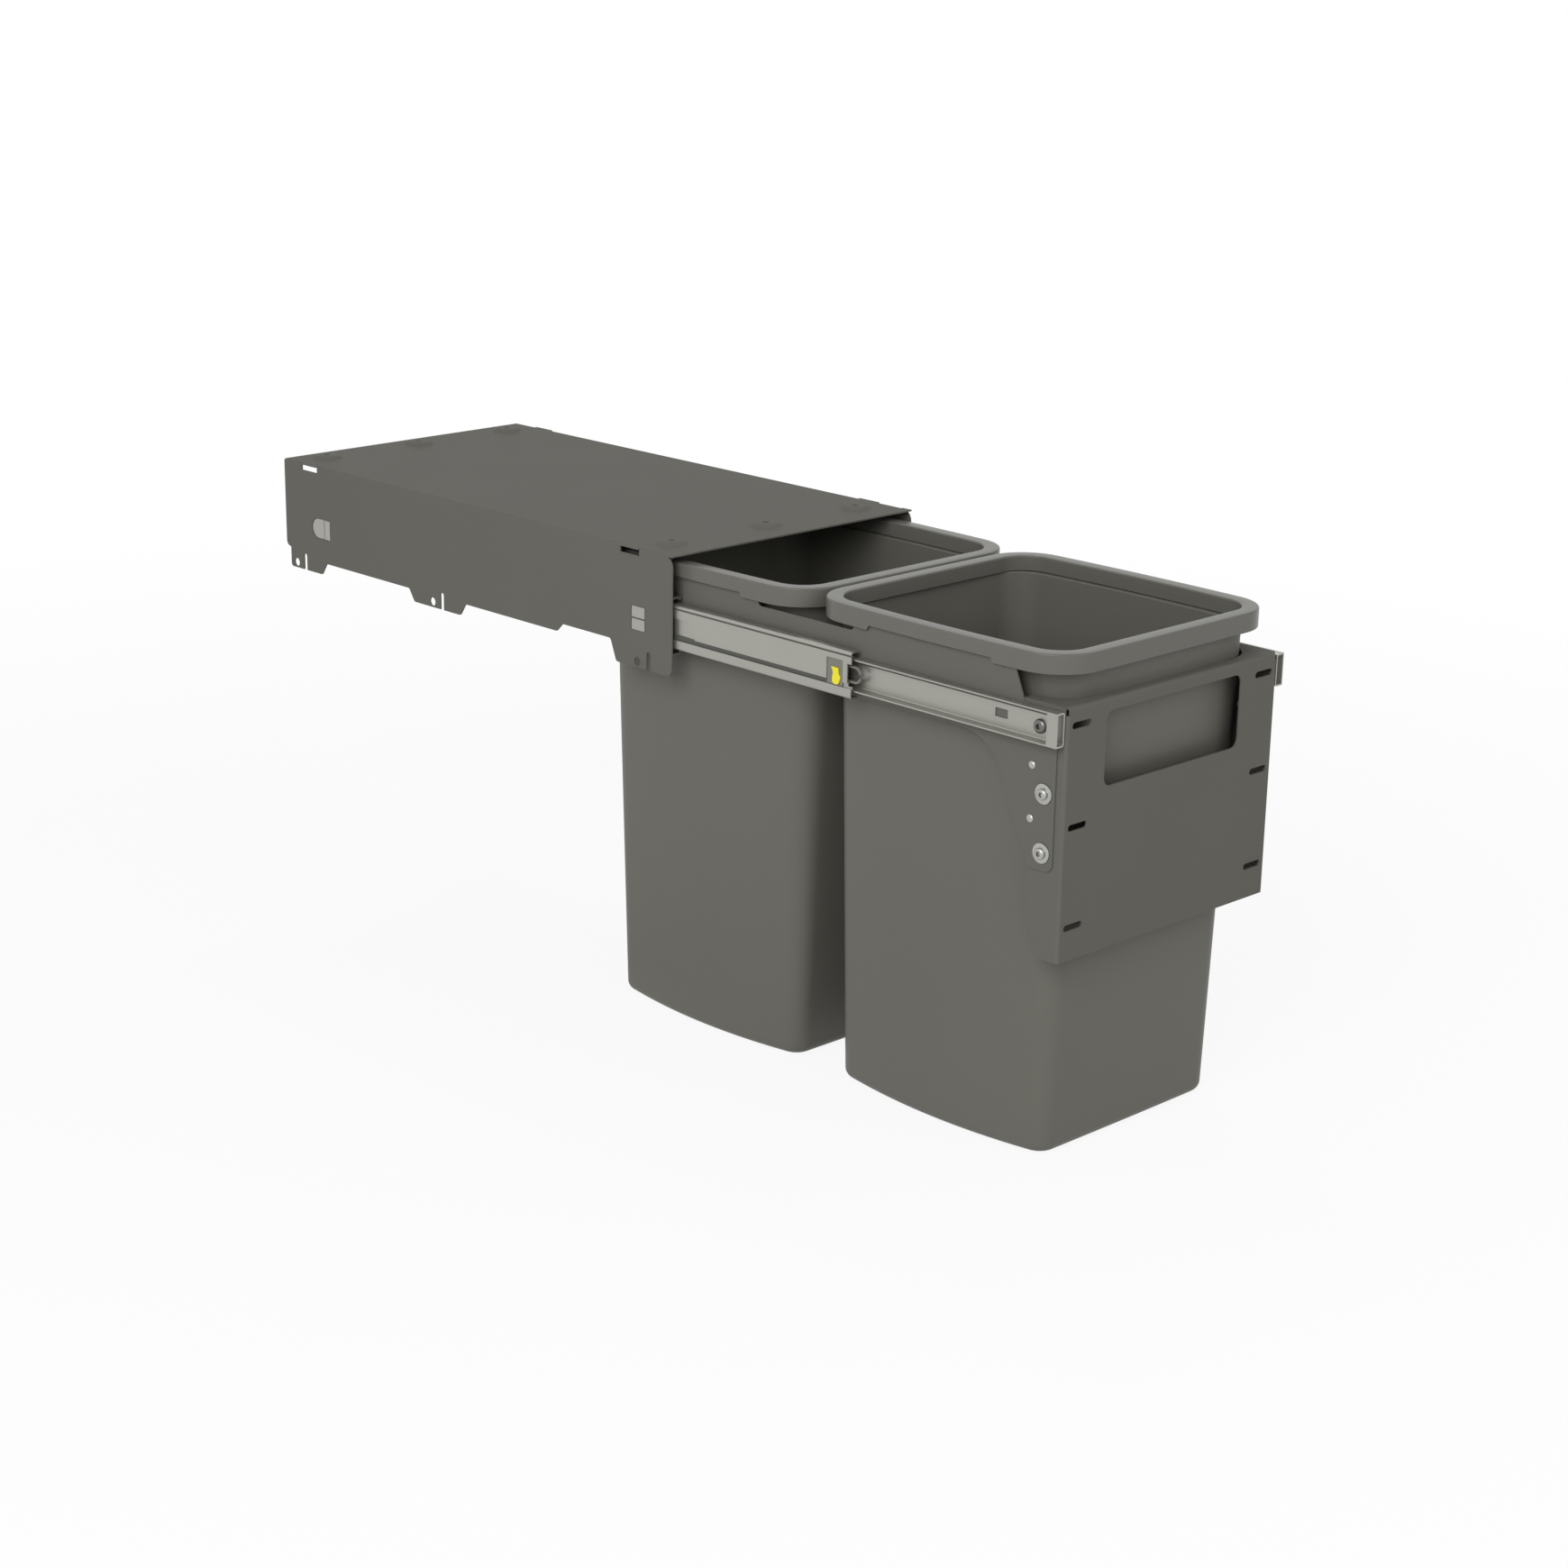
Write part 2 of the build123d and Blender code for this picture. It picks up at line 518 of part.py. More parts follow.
def tie_rivet_places():
    """(back, depth) of the rivets through a tie tab."""
    back = PLATE_REAR_BACK - TIE_SETBACK - TIE_RIVET_SETBACK
    ends = (TIE_TOP_DEPTH + TIE_RIVET_EDGE, TIE_TOP_DEPTH + TIE_HEIGHT - TIE_RIVET_EDGE)
    return [(back, depth) for depth in ends]


def plate_outline():
    """(back, depth, radius) outline of a side plate: tongues above, a leg below its nose."""
    top, low = TONGUE_DEPTH, PLATE_TOP_DEPTH
    points = [(PLATE_REAR_BACK, PLATE_BOTTOM_DEPTH, 4), (PLATE_REAR_BACK, low, 4)]
    for name in ("back", "front"):
        centre = BUCKET_BACKS[name]
        points += [(centre + TONGUE_HALF, low, 4), (centre + TONGUE_HALF, top, 3)]
        if name == "back":
            points += [(centre - TONGUE_HALF, top, 3), (centre - TONGUE_HALF, low, 4)]
    tongue_front = BUCKET_BACKS["front"] - TONGUE_HALF
    leg_front = PANEL_FRONT + LEG_SETBACK
    leg_rear = leg_front + LEG_WIDTH
    points += [(tongue_front, top, 3), (tongue_front - NOSE_RUN, NOSE_DEPTH, 2)]
    points += [(leg_front, NOSE_DEPTH, 2), (leg_front, LEG_DEPTH, LEG_TIP_R), (leg_rear, LEG_DEPTH, 2)]
    points += [(leg_rear + LEG_RUN, PLATE_BOTTOM_DEPTH, LEG_ROOT_R)]
    return points


def side_plate(side):
    """Drawer side: one sheet that carries the buckets, the slide and the door bracket."""
    plate = side_plate_shape(plate_outline(), -PLATE_X, PLATE_SHEET)
    through = (-PLATE_X - 1, -BRACKET_X + 1)
    for back in slide_screw_backs():
        plate -= pin(SLIDE_SCREW_R + HOLE_CLEARANCE, *through, back, SLIDE_DEPTH + SLIDE_SCREW_DROP)
    for back, depth in adjust_places():
        plate -= pin(ADJUST_R + HOLE_CLEARANCE, *through, back, depth)
    for back, depth in bracket_rivet_places() + tie_rivet_places():
        plate -= pin(RIVET_R, *through, back, depth)
    return on_side(plate, side)


def rear_cross_tie():
    """Folded strip across the drawer's rear end, with a tab along each side plate."""
    section = folded_section(2 * BRACKET_X, TIE_TAB, TIE_SHEET, TIE_BEND)
    tie = extrude(section, TIE_HEIGHT)
    tie = Pos(0, y_at(PLATE_REAR_BACK - TIE_SETBACK), z_at(TIE_TOP_DEPTH + TIE_HEIGHT)) * tie
    for back, depth in tie_rivet_places():
        tie -= pin(RIVET_R, -BRACKET_X - 1, BRACKET_X + 1, back, depth)
    return tie


def bracket_shell():
    """Box of the door bracket before its flanges are trimmed: panel, sides and top."""
    width, length = 2 * BRACKET_X, ARM_LENGTH
    depth = PANEL_TOP_DEPTH + PANEL_HEIGHT
    outside = block((-BRACKET_X, BRACKET_X), (PANEL_FRONT, PANEL_FRONT + length), (PANEL_TOP_DEPTH, depth))
    inner_x = BRACKET_X - BRACKET_SHEET
    inside = block((-inner_x, inner_x), (PANEL_FRONT + BRACKET_SHEET, PANEL_FRONT + length + 5),
                   (PANEL_TOP_DEPTH + BRACKET_SHEET, depth + 5))
    solids = []
    for solid, radius in ((outside, BRACKET_BEND + BRACKET_SHEET), (inside, BRACKET_BEND)):
        front = solid.faces().sort_by(Axis.Y)[0]
        bottom = front.edges().sort_by(Axis.Z)[0]
        solids.append(fillet([edge for edge in front.edges() if edge != bottom], radius))
    return solids[0] - solids[1]


def shelf_cutter():
    """Opening of the top flange: straight arms, and a shelf that follows the front bucket."""
    arm_x = BRACKET_X - ARM_WIDTH
    depths = (PANEL_TOP_DEPTH - BRACKET_SHEET, PANEL_TOP_DEPTH + 2 * BRACKET_SHEET)
    arms = block((-arm_x, arm_x), (PANEL_FRONT + SHELF_WIDTH, PANEL_FRONT + ARM_LENGTH + 1), depths)
    return arms + Pos(0, y_at(BUCKET_FRONT_BACK), 0) * tub(-SHELF_CLEARANCE, *depths)


def side_flange_outline():
    """(back, depth, radius) outline that the bracket's side flanges keep."""
    front, rear = PANEL_FRONT, PANEL_FRONT + ARM_LENGTH
    narrow = front + SIDE_FLANGE_WIDTH
    bottom = PANEL_TOP_DEPTH + PANEL_HEIGHT
    run, rise = FLANGE_CHAMFER
    return [(front - 1, PANEL_TOP_DEPTH - 1, 0), (rear + 1, PANEL_TOP_DEPTH - 1, 0),
            (rear + 1, PANEL_TOP_DEPTH + BRACKET_SHEET, 0), (rear, PANEL_TOP_DEPTH + BRACKET_SHEET, 0),
            (rear, FLANGE_NARROW_DEPTH, 3), (narrow, FLANGE_NARROW_DEPTH + FLANGE_NARROW_RUN, 3),
            (narrow, bottom - rise, 4), (narrow - run, bottom, 2), (front - 1, bottom, 0)]


def door_bracket():
    """Folded bracket that holds the cabinet door: panel with slots and window, three flanges."""
    bracket = bracket_shell() & side_plate_shape(side_flange_outline(), -BRACKET_X, 2 * BRACKET_X)
    bracket -= shelf_cutter()
    face = y_at(PANEL_FRONT + BRACKET_SHEET / 2)
    window = RectangleRounded(*WINDOW_SIZE, WINDOW_R)
    cutters = [Pos(0, face, z_at(PANEL_TOP_DEPTH + WINDOW_TOP + WINDOW_SIZE[1] / 2)) * (Plane.XZ * window)]
    for side in SIDES.values():
        for row in range(SLOT_ROWS):
            depth = PANEL_TOP_DEPTH + SLOT_TOP + row * SLOT_PITCH_Z
            slot = Plane.XZ * SlotOverall(SLOT_LENGTH, SLOT_WIDTH)
            cutters.append(Pos(side * SLOT_PITCH_X / 2, face, z_at(depth)) * slot)
        corner = Pos(side * (BRACKET_X - BRACKET_SHEET), y_at(PANEL_FRONT + BRACKET_SHEET), z_at(PANEL_TOP_DEPTH))
        bracket -= corner * Sphere(CORNER_RELIEF_R)
    for cutter in cutters:
        bracket -= extrude(cutter, 2 * BRACKET_SHEET, both=True)
    through = (-BRACKET_X - 1, BRACKET_X + 1)
    bracket -= pin(SLIDE_SCREW_R + HOLE_CLEARANCE, *through, slide_screw_backs()[0], SLIDE_DEPTH + SLIDE_SCREW_DROP)
    for back, depth in adjust_places():
        bracket -= pin(ADJUST_R + HOLE_CLEARANCE, *through, back, depth)
    for back, depth in bracket_rivet_places():
        bracket -= pin(RIVET_R, *through, back, depth)
    return bracket


# --- fasteners --------------------------------------------------------------------------------------
def nut(x_face, back, depth, bore):
    """Hexagon nut whose outer face is at x_face, on the left."""
    body = extrude(RegularPolygon(NUT_R, 6) - Circle(bore), NUT_HEIGHT)
    return Pos(x_face, y_at(back), z_at(depth)) * Rot(0, 90, 0) * body


def screw(head_x, radius, head_r, head, end_x, back, depth, washer_r=0.0, washer=0.0):
    """Screw from the left: domed head with a hexagon socket, flange and shank."""
    solid = pin(radius, head_x - 0.1, end_x, back, depth)
    top = pin(head_r, head_x - washer - head, head_x - washer, back, depth)
    solid += fillet(top.edges().filter_by(GeomType.CIRCLE).sort_by(Axis.X)[0], 0.45 * head)
    if washer:
        solid += pin(washer_r, head_x - washer, head_x, back, depth)
    socket = extrude(RegularPolygon(SOCKET_R, 6), SOCKET_DEPTH)
    return solid - Pos(head_x - washer - head, y_at(back), z_at(depth)) * Rot(0, 90, 0) * socket


def slide_screws():
    """Button-head screws that hold the inner members to the side plates."""
    solids = []
    for n, back in enumerate(slide_screw_backs()):
        grip = -BRACKET_X + (BRACKET_SHEET if n == 0 else 0)
        solids.append(screw(left_x(INNER_U), SLIDE_SCREW_R, SLIDE_HEAD_R, SLIDE_HEAD_HEIGHT,
                            grip + NUT_HEIGHT + SCREW_END, back, SLIDE_DEPTH + SLIDE_SCREW_DROP))
    return [on_side(solid, side) for side in SIDES.values() for solid in solids]


def slide_nuts():
    """Nuts on the slide screws, inside the side plates."""
    solids = []
    for n, back in enumerate(slide_screw_backs()):
        grip = -BRACKET_X + (BRACKET_SHEET if n == 0 else 0)
        solids.append(nut(grip, back, SLIDE_DEPTH + SLIDE_SCREW_DROP, SLIDE_SCREW_R))
    return [on_side(solid, side) for side in SIDES.values() for solid in solids]


def adjust_screws():
    """Flange-head screws that clamp the door bracket to the side plates."""
    end = -BRACKET_X + BRACKET_SHEET + NUT_HEIGHT + SCREW_END
    solids = [screw(-PLATE_X, ADJUST_R, ADJUST_HEAD_R, ADJUST_HEAD, end, back, depth,
                    ADJUST_WASHER_R, ADJUST_WASHER) for back, depth in adjust_places()]
    return [on_side(solid, side) for side in SIDES.values() for solid in solids]


def adjust_nuts():
    """Nuts on the flange-head screws, inside the bracket's side flanges."""
    solids = [nut(-BRACKET_X + BRACKET_SHEET, back, depth, ADJUST_R) for back, depth in adjust_places()]
    return [on_side(solid, side) for side in SIDES.values() for solid in solids]


def rivets(places, inner_sheet):
    """Domed rivets through the side plates and the sheet inside them."""
    solids = []
    for back, depth in places:
        inside = -BRACKET_X + inner_sheet
        rivet = pin(RIVET_R, -PLATE_X - 0.1, inside + 0.1, back, depth)
        rivet += pin(RIVET_HEAD_R, inside, inside + RIVET_HEAD / 2, back, depth)
        head = pin(RIVET_HEAD_R, -PLATE_X - RIVET_HEAD, -PLATE_X, back, depth)
        rivet += fillet(head.edges().filter_by(GeomType.CIRCLE).sort_by(Axis.X)[0], 0.8 * RIVET_HEAD)
        solids.append(rivet)
    return [on_side(solid, side) for side in SIDES.values() for solid in solids]


# --- buckets ------------------------------------------------------------------------------------------
def tub_outline(half_x, half_y, bow_x, bow_y, radius):
    """Plan of a bucket: four sides that bulge by their bows, and rounded corners."""
    x, y = half_x - bow_x, half_y - max(bow_y, LEAST_BOW)
    lines = ThreePointArc((-x, -y), (0, -half_y), (x, -y))
    lines += ThreePointArc((x, -y), (half_x, 0), (x, y))
    lines += ThreePointArc((x, y), (0, half_y), (-x, y))
    lines += ThreePointArc((-x, y), (-half_x, 0), (-x, -y))
    face = make_face(lines)
    return fillet(face.vertices(), radius)


def rim_outline(inset):
    """Plan of the rim ring, drawn in by an inset all round."""
    return tub_outline(RIM_HALF_X - inset, RIM_HALF_Y - inset, RIM_BOW, 0, RIM_R - inset)


def slab(outline, top, bottom):
    """Upright prism of a plan between two depths."""
    return Pos(0, 0, z_at(bottom)) * extrude(outline, bottom - top)


def tub_section(inset, depth):
    """Plan of the bucket's tapered body at a depth, drawn in by an inset."""
    share = (depth - BODY_TOP_DEPTH) / (BASE_DEPTH - BODY_TOP_DEPTH)
    half_x = BODY_HALF_X + share * (BASE_HALF_X - BODY_HALF_X) - inset
    half_y = BODY_HALF_Y + share * (BASE_HALF_Y - BODY_HALF_Y) - inset
    bow_x = BODY_BOW + share * (BASE_BOW - BODY_BOW)
    radius = BODY_R + share * (BASE_R - BODY_R) - inset
    outline = tub_outline(half_x, half_y, bow_x, (1 - share) * BODY_FRONT_BOW, radius)
    return Pos(0, 0, z_at(depth)) * outline


def tub(inset, top, bottom, edge_r=0.0):
    """Tapered body of the bucket between two depths, with its lower edge rounded in steps."""
    sections = [tub_section(inset, top)]
    for step in range(BASE_EDGE_STEPS + 1 if edge_r else 1):
        angle = math.radians(90 * step / BASE_EDGE_STEPS)
        rise = edge_r * (1 - math.sin(angle))
        sections.append(tub_section(inset + edge_r * (1 - math.cos(angle)), bottom - rise))
    return loft(sections, ruled=True)


def bucket(name):
    """Bucket: tapered body, neck under the rim ring, and a flange that rests on the side plates."""
    neck = RIM_TOP_WIDTH - RIM_WALL - RING_CLEARANCE - NECK_WALL
    neck_bottom = BODY_TOP_DEPTH - NECK_WALL / 4
    flange_top = FLANGE_TOP_DEPTH
    body = tub(0, flange_top, BASE_DEPTH, BASE_EDGE_R)
    body += slab(rim_outline(neck), flange_top, neck_bottom)
    body += slab(rim_outline(RIM_WALL + 3 * SEAT_CLEARANCE), flange_top, flange_top + BUCKET_FLANGE)
    body -= tub(BUCKET_WALL, flange_top - 1, BASE_DEPTH - BASE_WALL, BASE_EDGE_R - BUCKET_WALL)
    body -= slab(rim_outline(neck + NECK_WALL), flange_top - 1, neck_bottom - NECK_WALL)
    return Pos(0, y_at(BUCKET_BACKS[name]), 0) * body


def rim_ring(name):
    """Ring that clips a bag to the bucket: flat top, outer skirt and inner skirt."""
    bottom = RIM_DEPTH + RIM_SKIRT
    ring = slab(rim_outline(0), RIM_DEPTH, bottom)
    ring -= slab(rim_outline(RIM_TOP_WIDTH), RIM_DEPTH - 1, bottom + 1)
    ring = fillet(ring.faces().sort_by(Axis.Z)[-1].edges(), RIM_EDGE_R)
    groove = rim_outline(RIM_WALL) - rim_outline(RIM_TOP_WIDTH - RIM_WALL)
    ring -= slab(groove, RIM_DEPTH + RIM_WALL, bottom + 1)
    ring -= slab(rim_outline(RIM_TOP_WIDTH - RIM_WALL), RIM_DEPTH + RIM_INNER_SKIRT, bottom + 1)
    for side in SIDES.values():
        ring -= Pos(side * RIM_HALF_X, 0, z_at(bottom)) * Box(24, 2 * RIM_NOTCH_HALF, 2 * RIM_NOTCH)
    return Pos(0, y_at(BUCKET_BACKS[name]), 0) * ring


# --- sub-parts ----------------------------------------------------------------------------------------
def sub_parts():
    """Every sub-part as (name, solid or list of solids)."""
    yield "cover_frame", cover_frame()
    makers = {"slide_outer": slide_outer, "slide_middle": slide_middle, "slide_inner": slide_inner,
              "ball_cage_outer": ball_cage_outer, "ball_cage_inner": ball_cage_inner,
              "slide_bumper": slide_bumper, "slide_end_piece": slide_end_piece,
              "latch_insert": latch_insert, "side_plate": side_plate}
    for side_name, side in SIDES.items():
        for name, maker in makers.items():
            yield f"{name}_{side_name}", maker(side)
    yield "rear_cross_tie", rear_cross_tie()
    yield "door_bracket", door_bracket()
    yield "slide_screws", slide_screws()
    yield "slide_nuts", slide_nuts()
    yield "adjust_screws", adjust_screws()
    yield "adjust_nuts", adjust_nuts()
    yield "bracket_rivets", rivets(bracket_rivet_places(), BRACKET_SHEET)
    yield "tie_rivets", rivets(tie_rivet_places(), TIE_SHEET)
    for name in BUCKET_BACKS:
        yield f"bucket_{name}", bucket(name)
        yield f"rim_ring_{name}", rim_ring(name)


os.makedirs("parts", exist_ok=True)
for part_name, shape in sub_parts():
    whole = Compound(children=shape) if isinstance(shape, list) else shape
    export_step(whole, f"parts/{part_name}.step")
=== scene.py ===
"""Pull-out waste unit, dressed: powder-coated sheet metal, zinc slides, moulded buckets."""
import logging
import math
from dataclasses import astuple, dataclass
from enum import Enum
from typing import Callable, Sequence

import bmesh
import bpy
from bpy.types import Material, Mesh, NodeSocket, NodeTree, Object
from mathutils import Matrix, Vector


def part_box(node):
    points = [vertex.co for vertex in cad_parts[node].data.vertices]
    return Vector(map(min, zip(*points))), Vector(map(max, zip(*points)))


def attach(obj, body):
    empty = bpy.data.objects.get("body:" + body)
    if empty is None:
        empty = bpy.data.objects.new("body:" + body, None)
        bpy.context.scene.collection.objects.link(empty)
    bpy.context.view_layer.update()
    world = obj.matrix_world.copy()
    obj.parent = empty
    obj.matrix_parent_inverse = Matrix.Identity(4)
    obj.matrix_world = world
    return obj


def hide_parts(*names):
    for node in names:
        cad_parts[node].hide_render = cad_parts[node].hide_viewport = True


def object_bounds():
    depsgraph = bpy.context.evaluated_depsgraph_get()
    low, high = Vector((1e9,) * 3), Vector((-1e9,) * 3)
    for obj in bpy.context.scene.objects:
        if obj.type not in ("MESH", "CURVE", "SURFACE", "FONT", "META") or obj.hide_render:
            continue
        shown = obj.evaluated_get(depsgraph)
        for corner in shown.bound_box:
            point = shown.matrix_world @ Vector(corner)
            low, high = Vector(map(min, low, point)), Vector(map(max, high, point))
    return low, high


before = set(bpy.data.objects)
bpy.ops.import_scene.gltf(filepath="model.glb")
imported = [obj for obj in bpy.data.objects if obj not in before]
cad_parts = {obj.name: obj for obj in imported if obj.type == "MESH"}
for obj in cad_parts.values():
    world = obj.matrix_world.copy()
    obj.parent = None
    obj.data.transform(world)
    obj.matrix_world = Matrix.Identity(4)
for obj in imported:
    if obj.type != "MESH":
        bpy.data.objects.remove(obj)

LOG = logging.getLogger("waste_unit")
CAD_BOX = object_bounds()
MM = 0.001
SIDES = {"left": -1, "right": 1}
SIDE_STEPS = 9  # points on half of a plan's side
CORNER_STEPS = 15  # points round a plan's corner
CORNER_PASSES = 12  # rounds in which a corner's centre settles
ROUND_STEPS = 36  # points round a turned loop, a multiple of 6
ARC_STEPS = 8  # steps of a rounded edge over a quarter circle
WELD_DISTANCE = 2e-6  # metres; closer points are joined
FLAT_ANGLE = 0.8  # degrees; flatter edges are dissolved
ROUNDED_ANGLE = 34.0  # degrees; sharper edges are rounded
SHARP_ANGLE = 30.0  # degrees; sharper edges stay sharp in shading
TURNED_SHARP_ANGLE = 40.0  # the same on turned pieces
BALL_STEPS, BALL_RINGS = 28, 16  # facets round a ball and over it
POCKET_DEPTH = 0.01  # metres; the pockets' cutters
MIX_LOW, MIX_HIGH, MIX_RESULT = 6, 7, 2  # colour sockets of a Mix node
Colour = tuple[float, float, float]
Pair = tuple[float, float]
Triple = tuple[float, float, float]
Loop = list[Vector]


# --- node trees ---
def arithmetic(operation: str) -> Callable[["Wire", "Wire | float"], "Wire"]:
    """Method that joins two values with one operation of a Math node."""
    def method(wire: "Wire", other: "Wire | float") -> "Wire":
        return wire.owner.node("ShaderNodeMath", {"operation": operation}, {0: wire, 1: other})
    return method


class Wire:
    """An output socket that takes part in Python arithmetic."""

    __add__ = __radd__ = arithmetic("ADD")
    __mul__ = __rmul__ = arithmetic("MULTIPLY")
    __sub__ = arithmetic("SUBTRACT")
    __truediv__ = arithmetic("DIVIDE")

    def __init__(self, owner: "NodeMaker", socket: NodeSocket) -> None:
        """Wrap a socket of one tree."""
        self.owner = owner
        self.socket = socket


class NodeMaker:
    """Adds nodes to one tree."""

    def __init__(self, tree: NodeTree) -> None:
        """Take the tree to work on."""
        self.tree = tree

    def node(self, kind: str, settings: dict, inputs: dict, output: "str | int" = 0) -> Wire:
        """Add a node and give one of its outputs.

        Args:
            kind: the node's type.
            settings: attributes that are set first.
            inputs: values or wires by socket name or number.
            output: the name or number of the output to give.

        Returns:
            The chosen output as a wire.
        """
        node = self.tree.nodes.new(kind)
        for key, value in settings.items():
            setattr(node, key, value)
        for key, value in inputs.items():
            self.feed(node.inputs[key], value)
        return Wire(self, node.outputs[output])

    def feed(self, socket: NodeSocket, value: object) -> None:
        """Link a wire, or several, to a socket, or set the socket's own value."""
        for one in value if isinstance(value, list) else [value]:
            if isinstance(one, Wire):
                self.tree.links.new(one.socket, socket)
            else:
                socket.default_value = one


class Shader(NodeMaker):
    """A node material around one Principled BSDF."""

    def __init__(self, name: str) -> None:
        """Start a named material with a bare Principled BSDF."""
        self.material = bpy.data.materials.new(name)
        self.material.use_nodes = True
        super().__init__(self.material.node_tree)
        self.tree.nodes.clear()
        self.exit = self.tree.nodes.new("ShaderNodeOutputMaterial")
        self.surface = self.tree.nodes.new("ShaderNodeBsdfPrincipled")
        self.tree.links.new(self.surface.outputs[0], self.exit.inputs["Surface"])
        self.place = self.node("ShaderNodeTexCoord", {}, {}, "Object")

    def set(self, **values: object) -> None:
        """Set the Principled BSDF's sockets, with _ for a space in their names."""
        for key, value in values.items():
            self.feed(self.surface.inputs[key.replace("_", " ")], value)

    def noise(self, scale: float, detail: float = 2.0, stretch: Triple = (1.0, 1.0, 1.0)) -> Wire:
        """Noise between 0 and 1 over the object.

        Args:
            scale: features per metre.
            detail: octaves.
            stretch: extra scale along each axis.

        Returns:
            The noise value.
        """
        vector = self.node("ShaderNodeMapping", {}, {"Vector": self.place, "Scale": stretch})
        return self.node("ShaderNodeTexNoise", {}, {
            "Vector": vector, "Scale": scale, "Detail": detail})

    def blend(self, first: Wire, second: Wire, share: float) -> Wire:
        """Mean of two values, with the first one's share."""
        return first * share + second * (1 - share)

    def tint(self, share: Wire, colour: Colour, tones: Pair) -> Wire:
        """Colour that drifts between two tones of itself.

        Args:
            share: where it lies between the two tones, from 0 to 1.
            colour: the middle colour.
            tones: the factors of the darker and the lighter tone.

        Returns:
            The drifting colour.
        """
        low, high = ((*shaded(colour, tone), 1.0) for tone in tones)
        settings = {"data_type": "RGBA", "clamp_factor": True}
        inputs = {0: share, MIX_LOW: low, MIX_HIGH: high}
        return self.node("ShaderNodeMix", settings, inputs, MIX_RESULT)

    def bump(self, height: Wire, strength: float, distance: float) -> Wire:
        """Surface normal disturbed by a height."""
        return self.node("ShaderNodeBump", {}, {
            "Height": height, "Strength": strength, "Distance": distance})


class Recipe(NodeMaker):
    """A Geometry Nodes tree with named inputs that ends in Realize Instances and Set Material."""

    def __init__(self, name: str, sizes: dict[str, str]) -> None:
        """Start a tree.

        Args:
            name: the tree's name.
            sizes: the socket type of each named input.
        """
        super().__init__(bpy.data.node_groups.new(name, "GeometryNodeTree"))
        shape = {"Geometry": "NodeSocketGeometry"}
        for label, kind in {**shape, **sizes, "Material": "NodeSocketMaterial"}.items():
            self.tree.interface.new_socket(label, in_out="INPUT", socket_type=kind)
        for label, kind in shape.items():
            self.tree.interface.new_socket(label, in_out="OUTPUT", socket_type=kind)
        self.entry = self.tree.nodes.new("NodeGroupInput")
        self.exit = self.tree.nodes.new("NodeGroupOutput")

    def given(self, label: str) -> Wire:
        """The wire of a named input."""
        return Wire(self, self.entry.outputs[label])

    def vector(self, **values: "Wire | float") -> Wire:
        """Vector from its X, Y and Z, each 0 if not given."""
        return self.node("ShaderNodeCombineXYZ", {}, values)

    def spread(self, points: Wire, instance: Wire, **more: Wire) -> Wire:
        """Instances of a geometry on every point."""
        return self.node("GeometryNodeInstanceOnPoints", {}, {
            "Points": points, "Instance": instance, **more}, "Instances")

    def finish(self, geometry: Wire) -> None:
        """Realise the geometry, give it the material and close the tree."""
        real = self.node("GeometryNodeRealizeInstances", {}, {"Geometry": geometry})
        done = self.node("GeometryNodeSetMaterial", {}, {
            "Geometry": real, "Material": self.given("Material")})
        self.feed(self.exit.inputs["Geometry"], done)

    def build(self, name: str, start: Mesh, material: Material,
              values: dict[str, object]) -> Object:
        """Run the tree on a mesh.

        Args:
            name: the new piece's name.
            start: the mesh that the tree starts from.
            material: the finish of the result.
            values: a value for each named input.

        Returns:
            A plain piece with the result as its mesh.
        """
        piece = new_piece(name + "_recipe", start)
        modifier = piece.modifiers.new("recipe", "NODES")
        modifier.node_group = self.tree
        wanted = {**values, "Material": material}
        for item in self.tree.interface.items_tree:
            if item.in_out == "INPUT" and item.name in wanted:
                modifier[item.identifier] = wanted[item.name]
        return evaluated(piece, name)


def linear(red: int, green: int, blue: int) -> Colour:
    """Linear colour of a display colour in 0 to 255."""
    def one(value: int) -> float:
        share = value / 255
        return share / 12.92 if share <= 0.04045 else ((share + 0.055) / 1.055) ** 2.4
    return one(red), one(green), one(blue)


def shaded(colour: Colour, factor: float) -> Colour:
    """Colour made lighter or darker by a factor."""
    return tuple(min(1.0, channel * factor) for channel in colour)


# --- finishes ---
@dataclass(frozen=True)
class PowderCoat:
    """Satin powder coat on sheet steel, with a fine orange peel."""

    colour: Colour = linear(107, 106, 100)
    tones: Pair = (0.96, 1.04)
    roughness: float = 0.46
    roughness_drift: float = 0.05
    gloss: float = 0.012
    cloud_scale: float = 11.0
    cloud_share: float = 0.7
    speck_scale: float = 2600.0
    peel_scale: float = 520.0
    peel_share: float = 0.75
    relief: Pair = (0.18, 0.00012)

    def make(self, name: str) -> Material:
        """Build the material."""
        shader = Shader(name)
        cloud = shader.noise(self.cloud_scale, detail=3.0)
        speck = shader.noise(self.speck_scale)
        peel = shader.noise(self.peel_scale, detail=1.5)
        share = shader.blend(cloud, speck, self.cloud_share)
        height = shader.blend(peel, speck, self.peel_share)
        drift = self.roughness_drift
        shader.set(Base_Color=shader.tint(share, self.colour, self.tones),
                   Roughness=self.roughness - drift + peel * (2 * drift),
                   Specular_IOR_Level=self.gloss, Normal=shader.bump(height, *self.relief))
        return shader.material


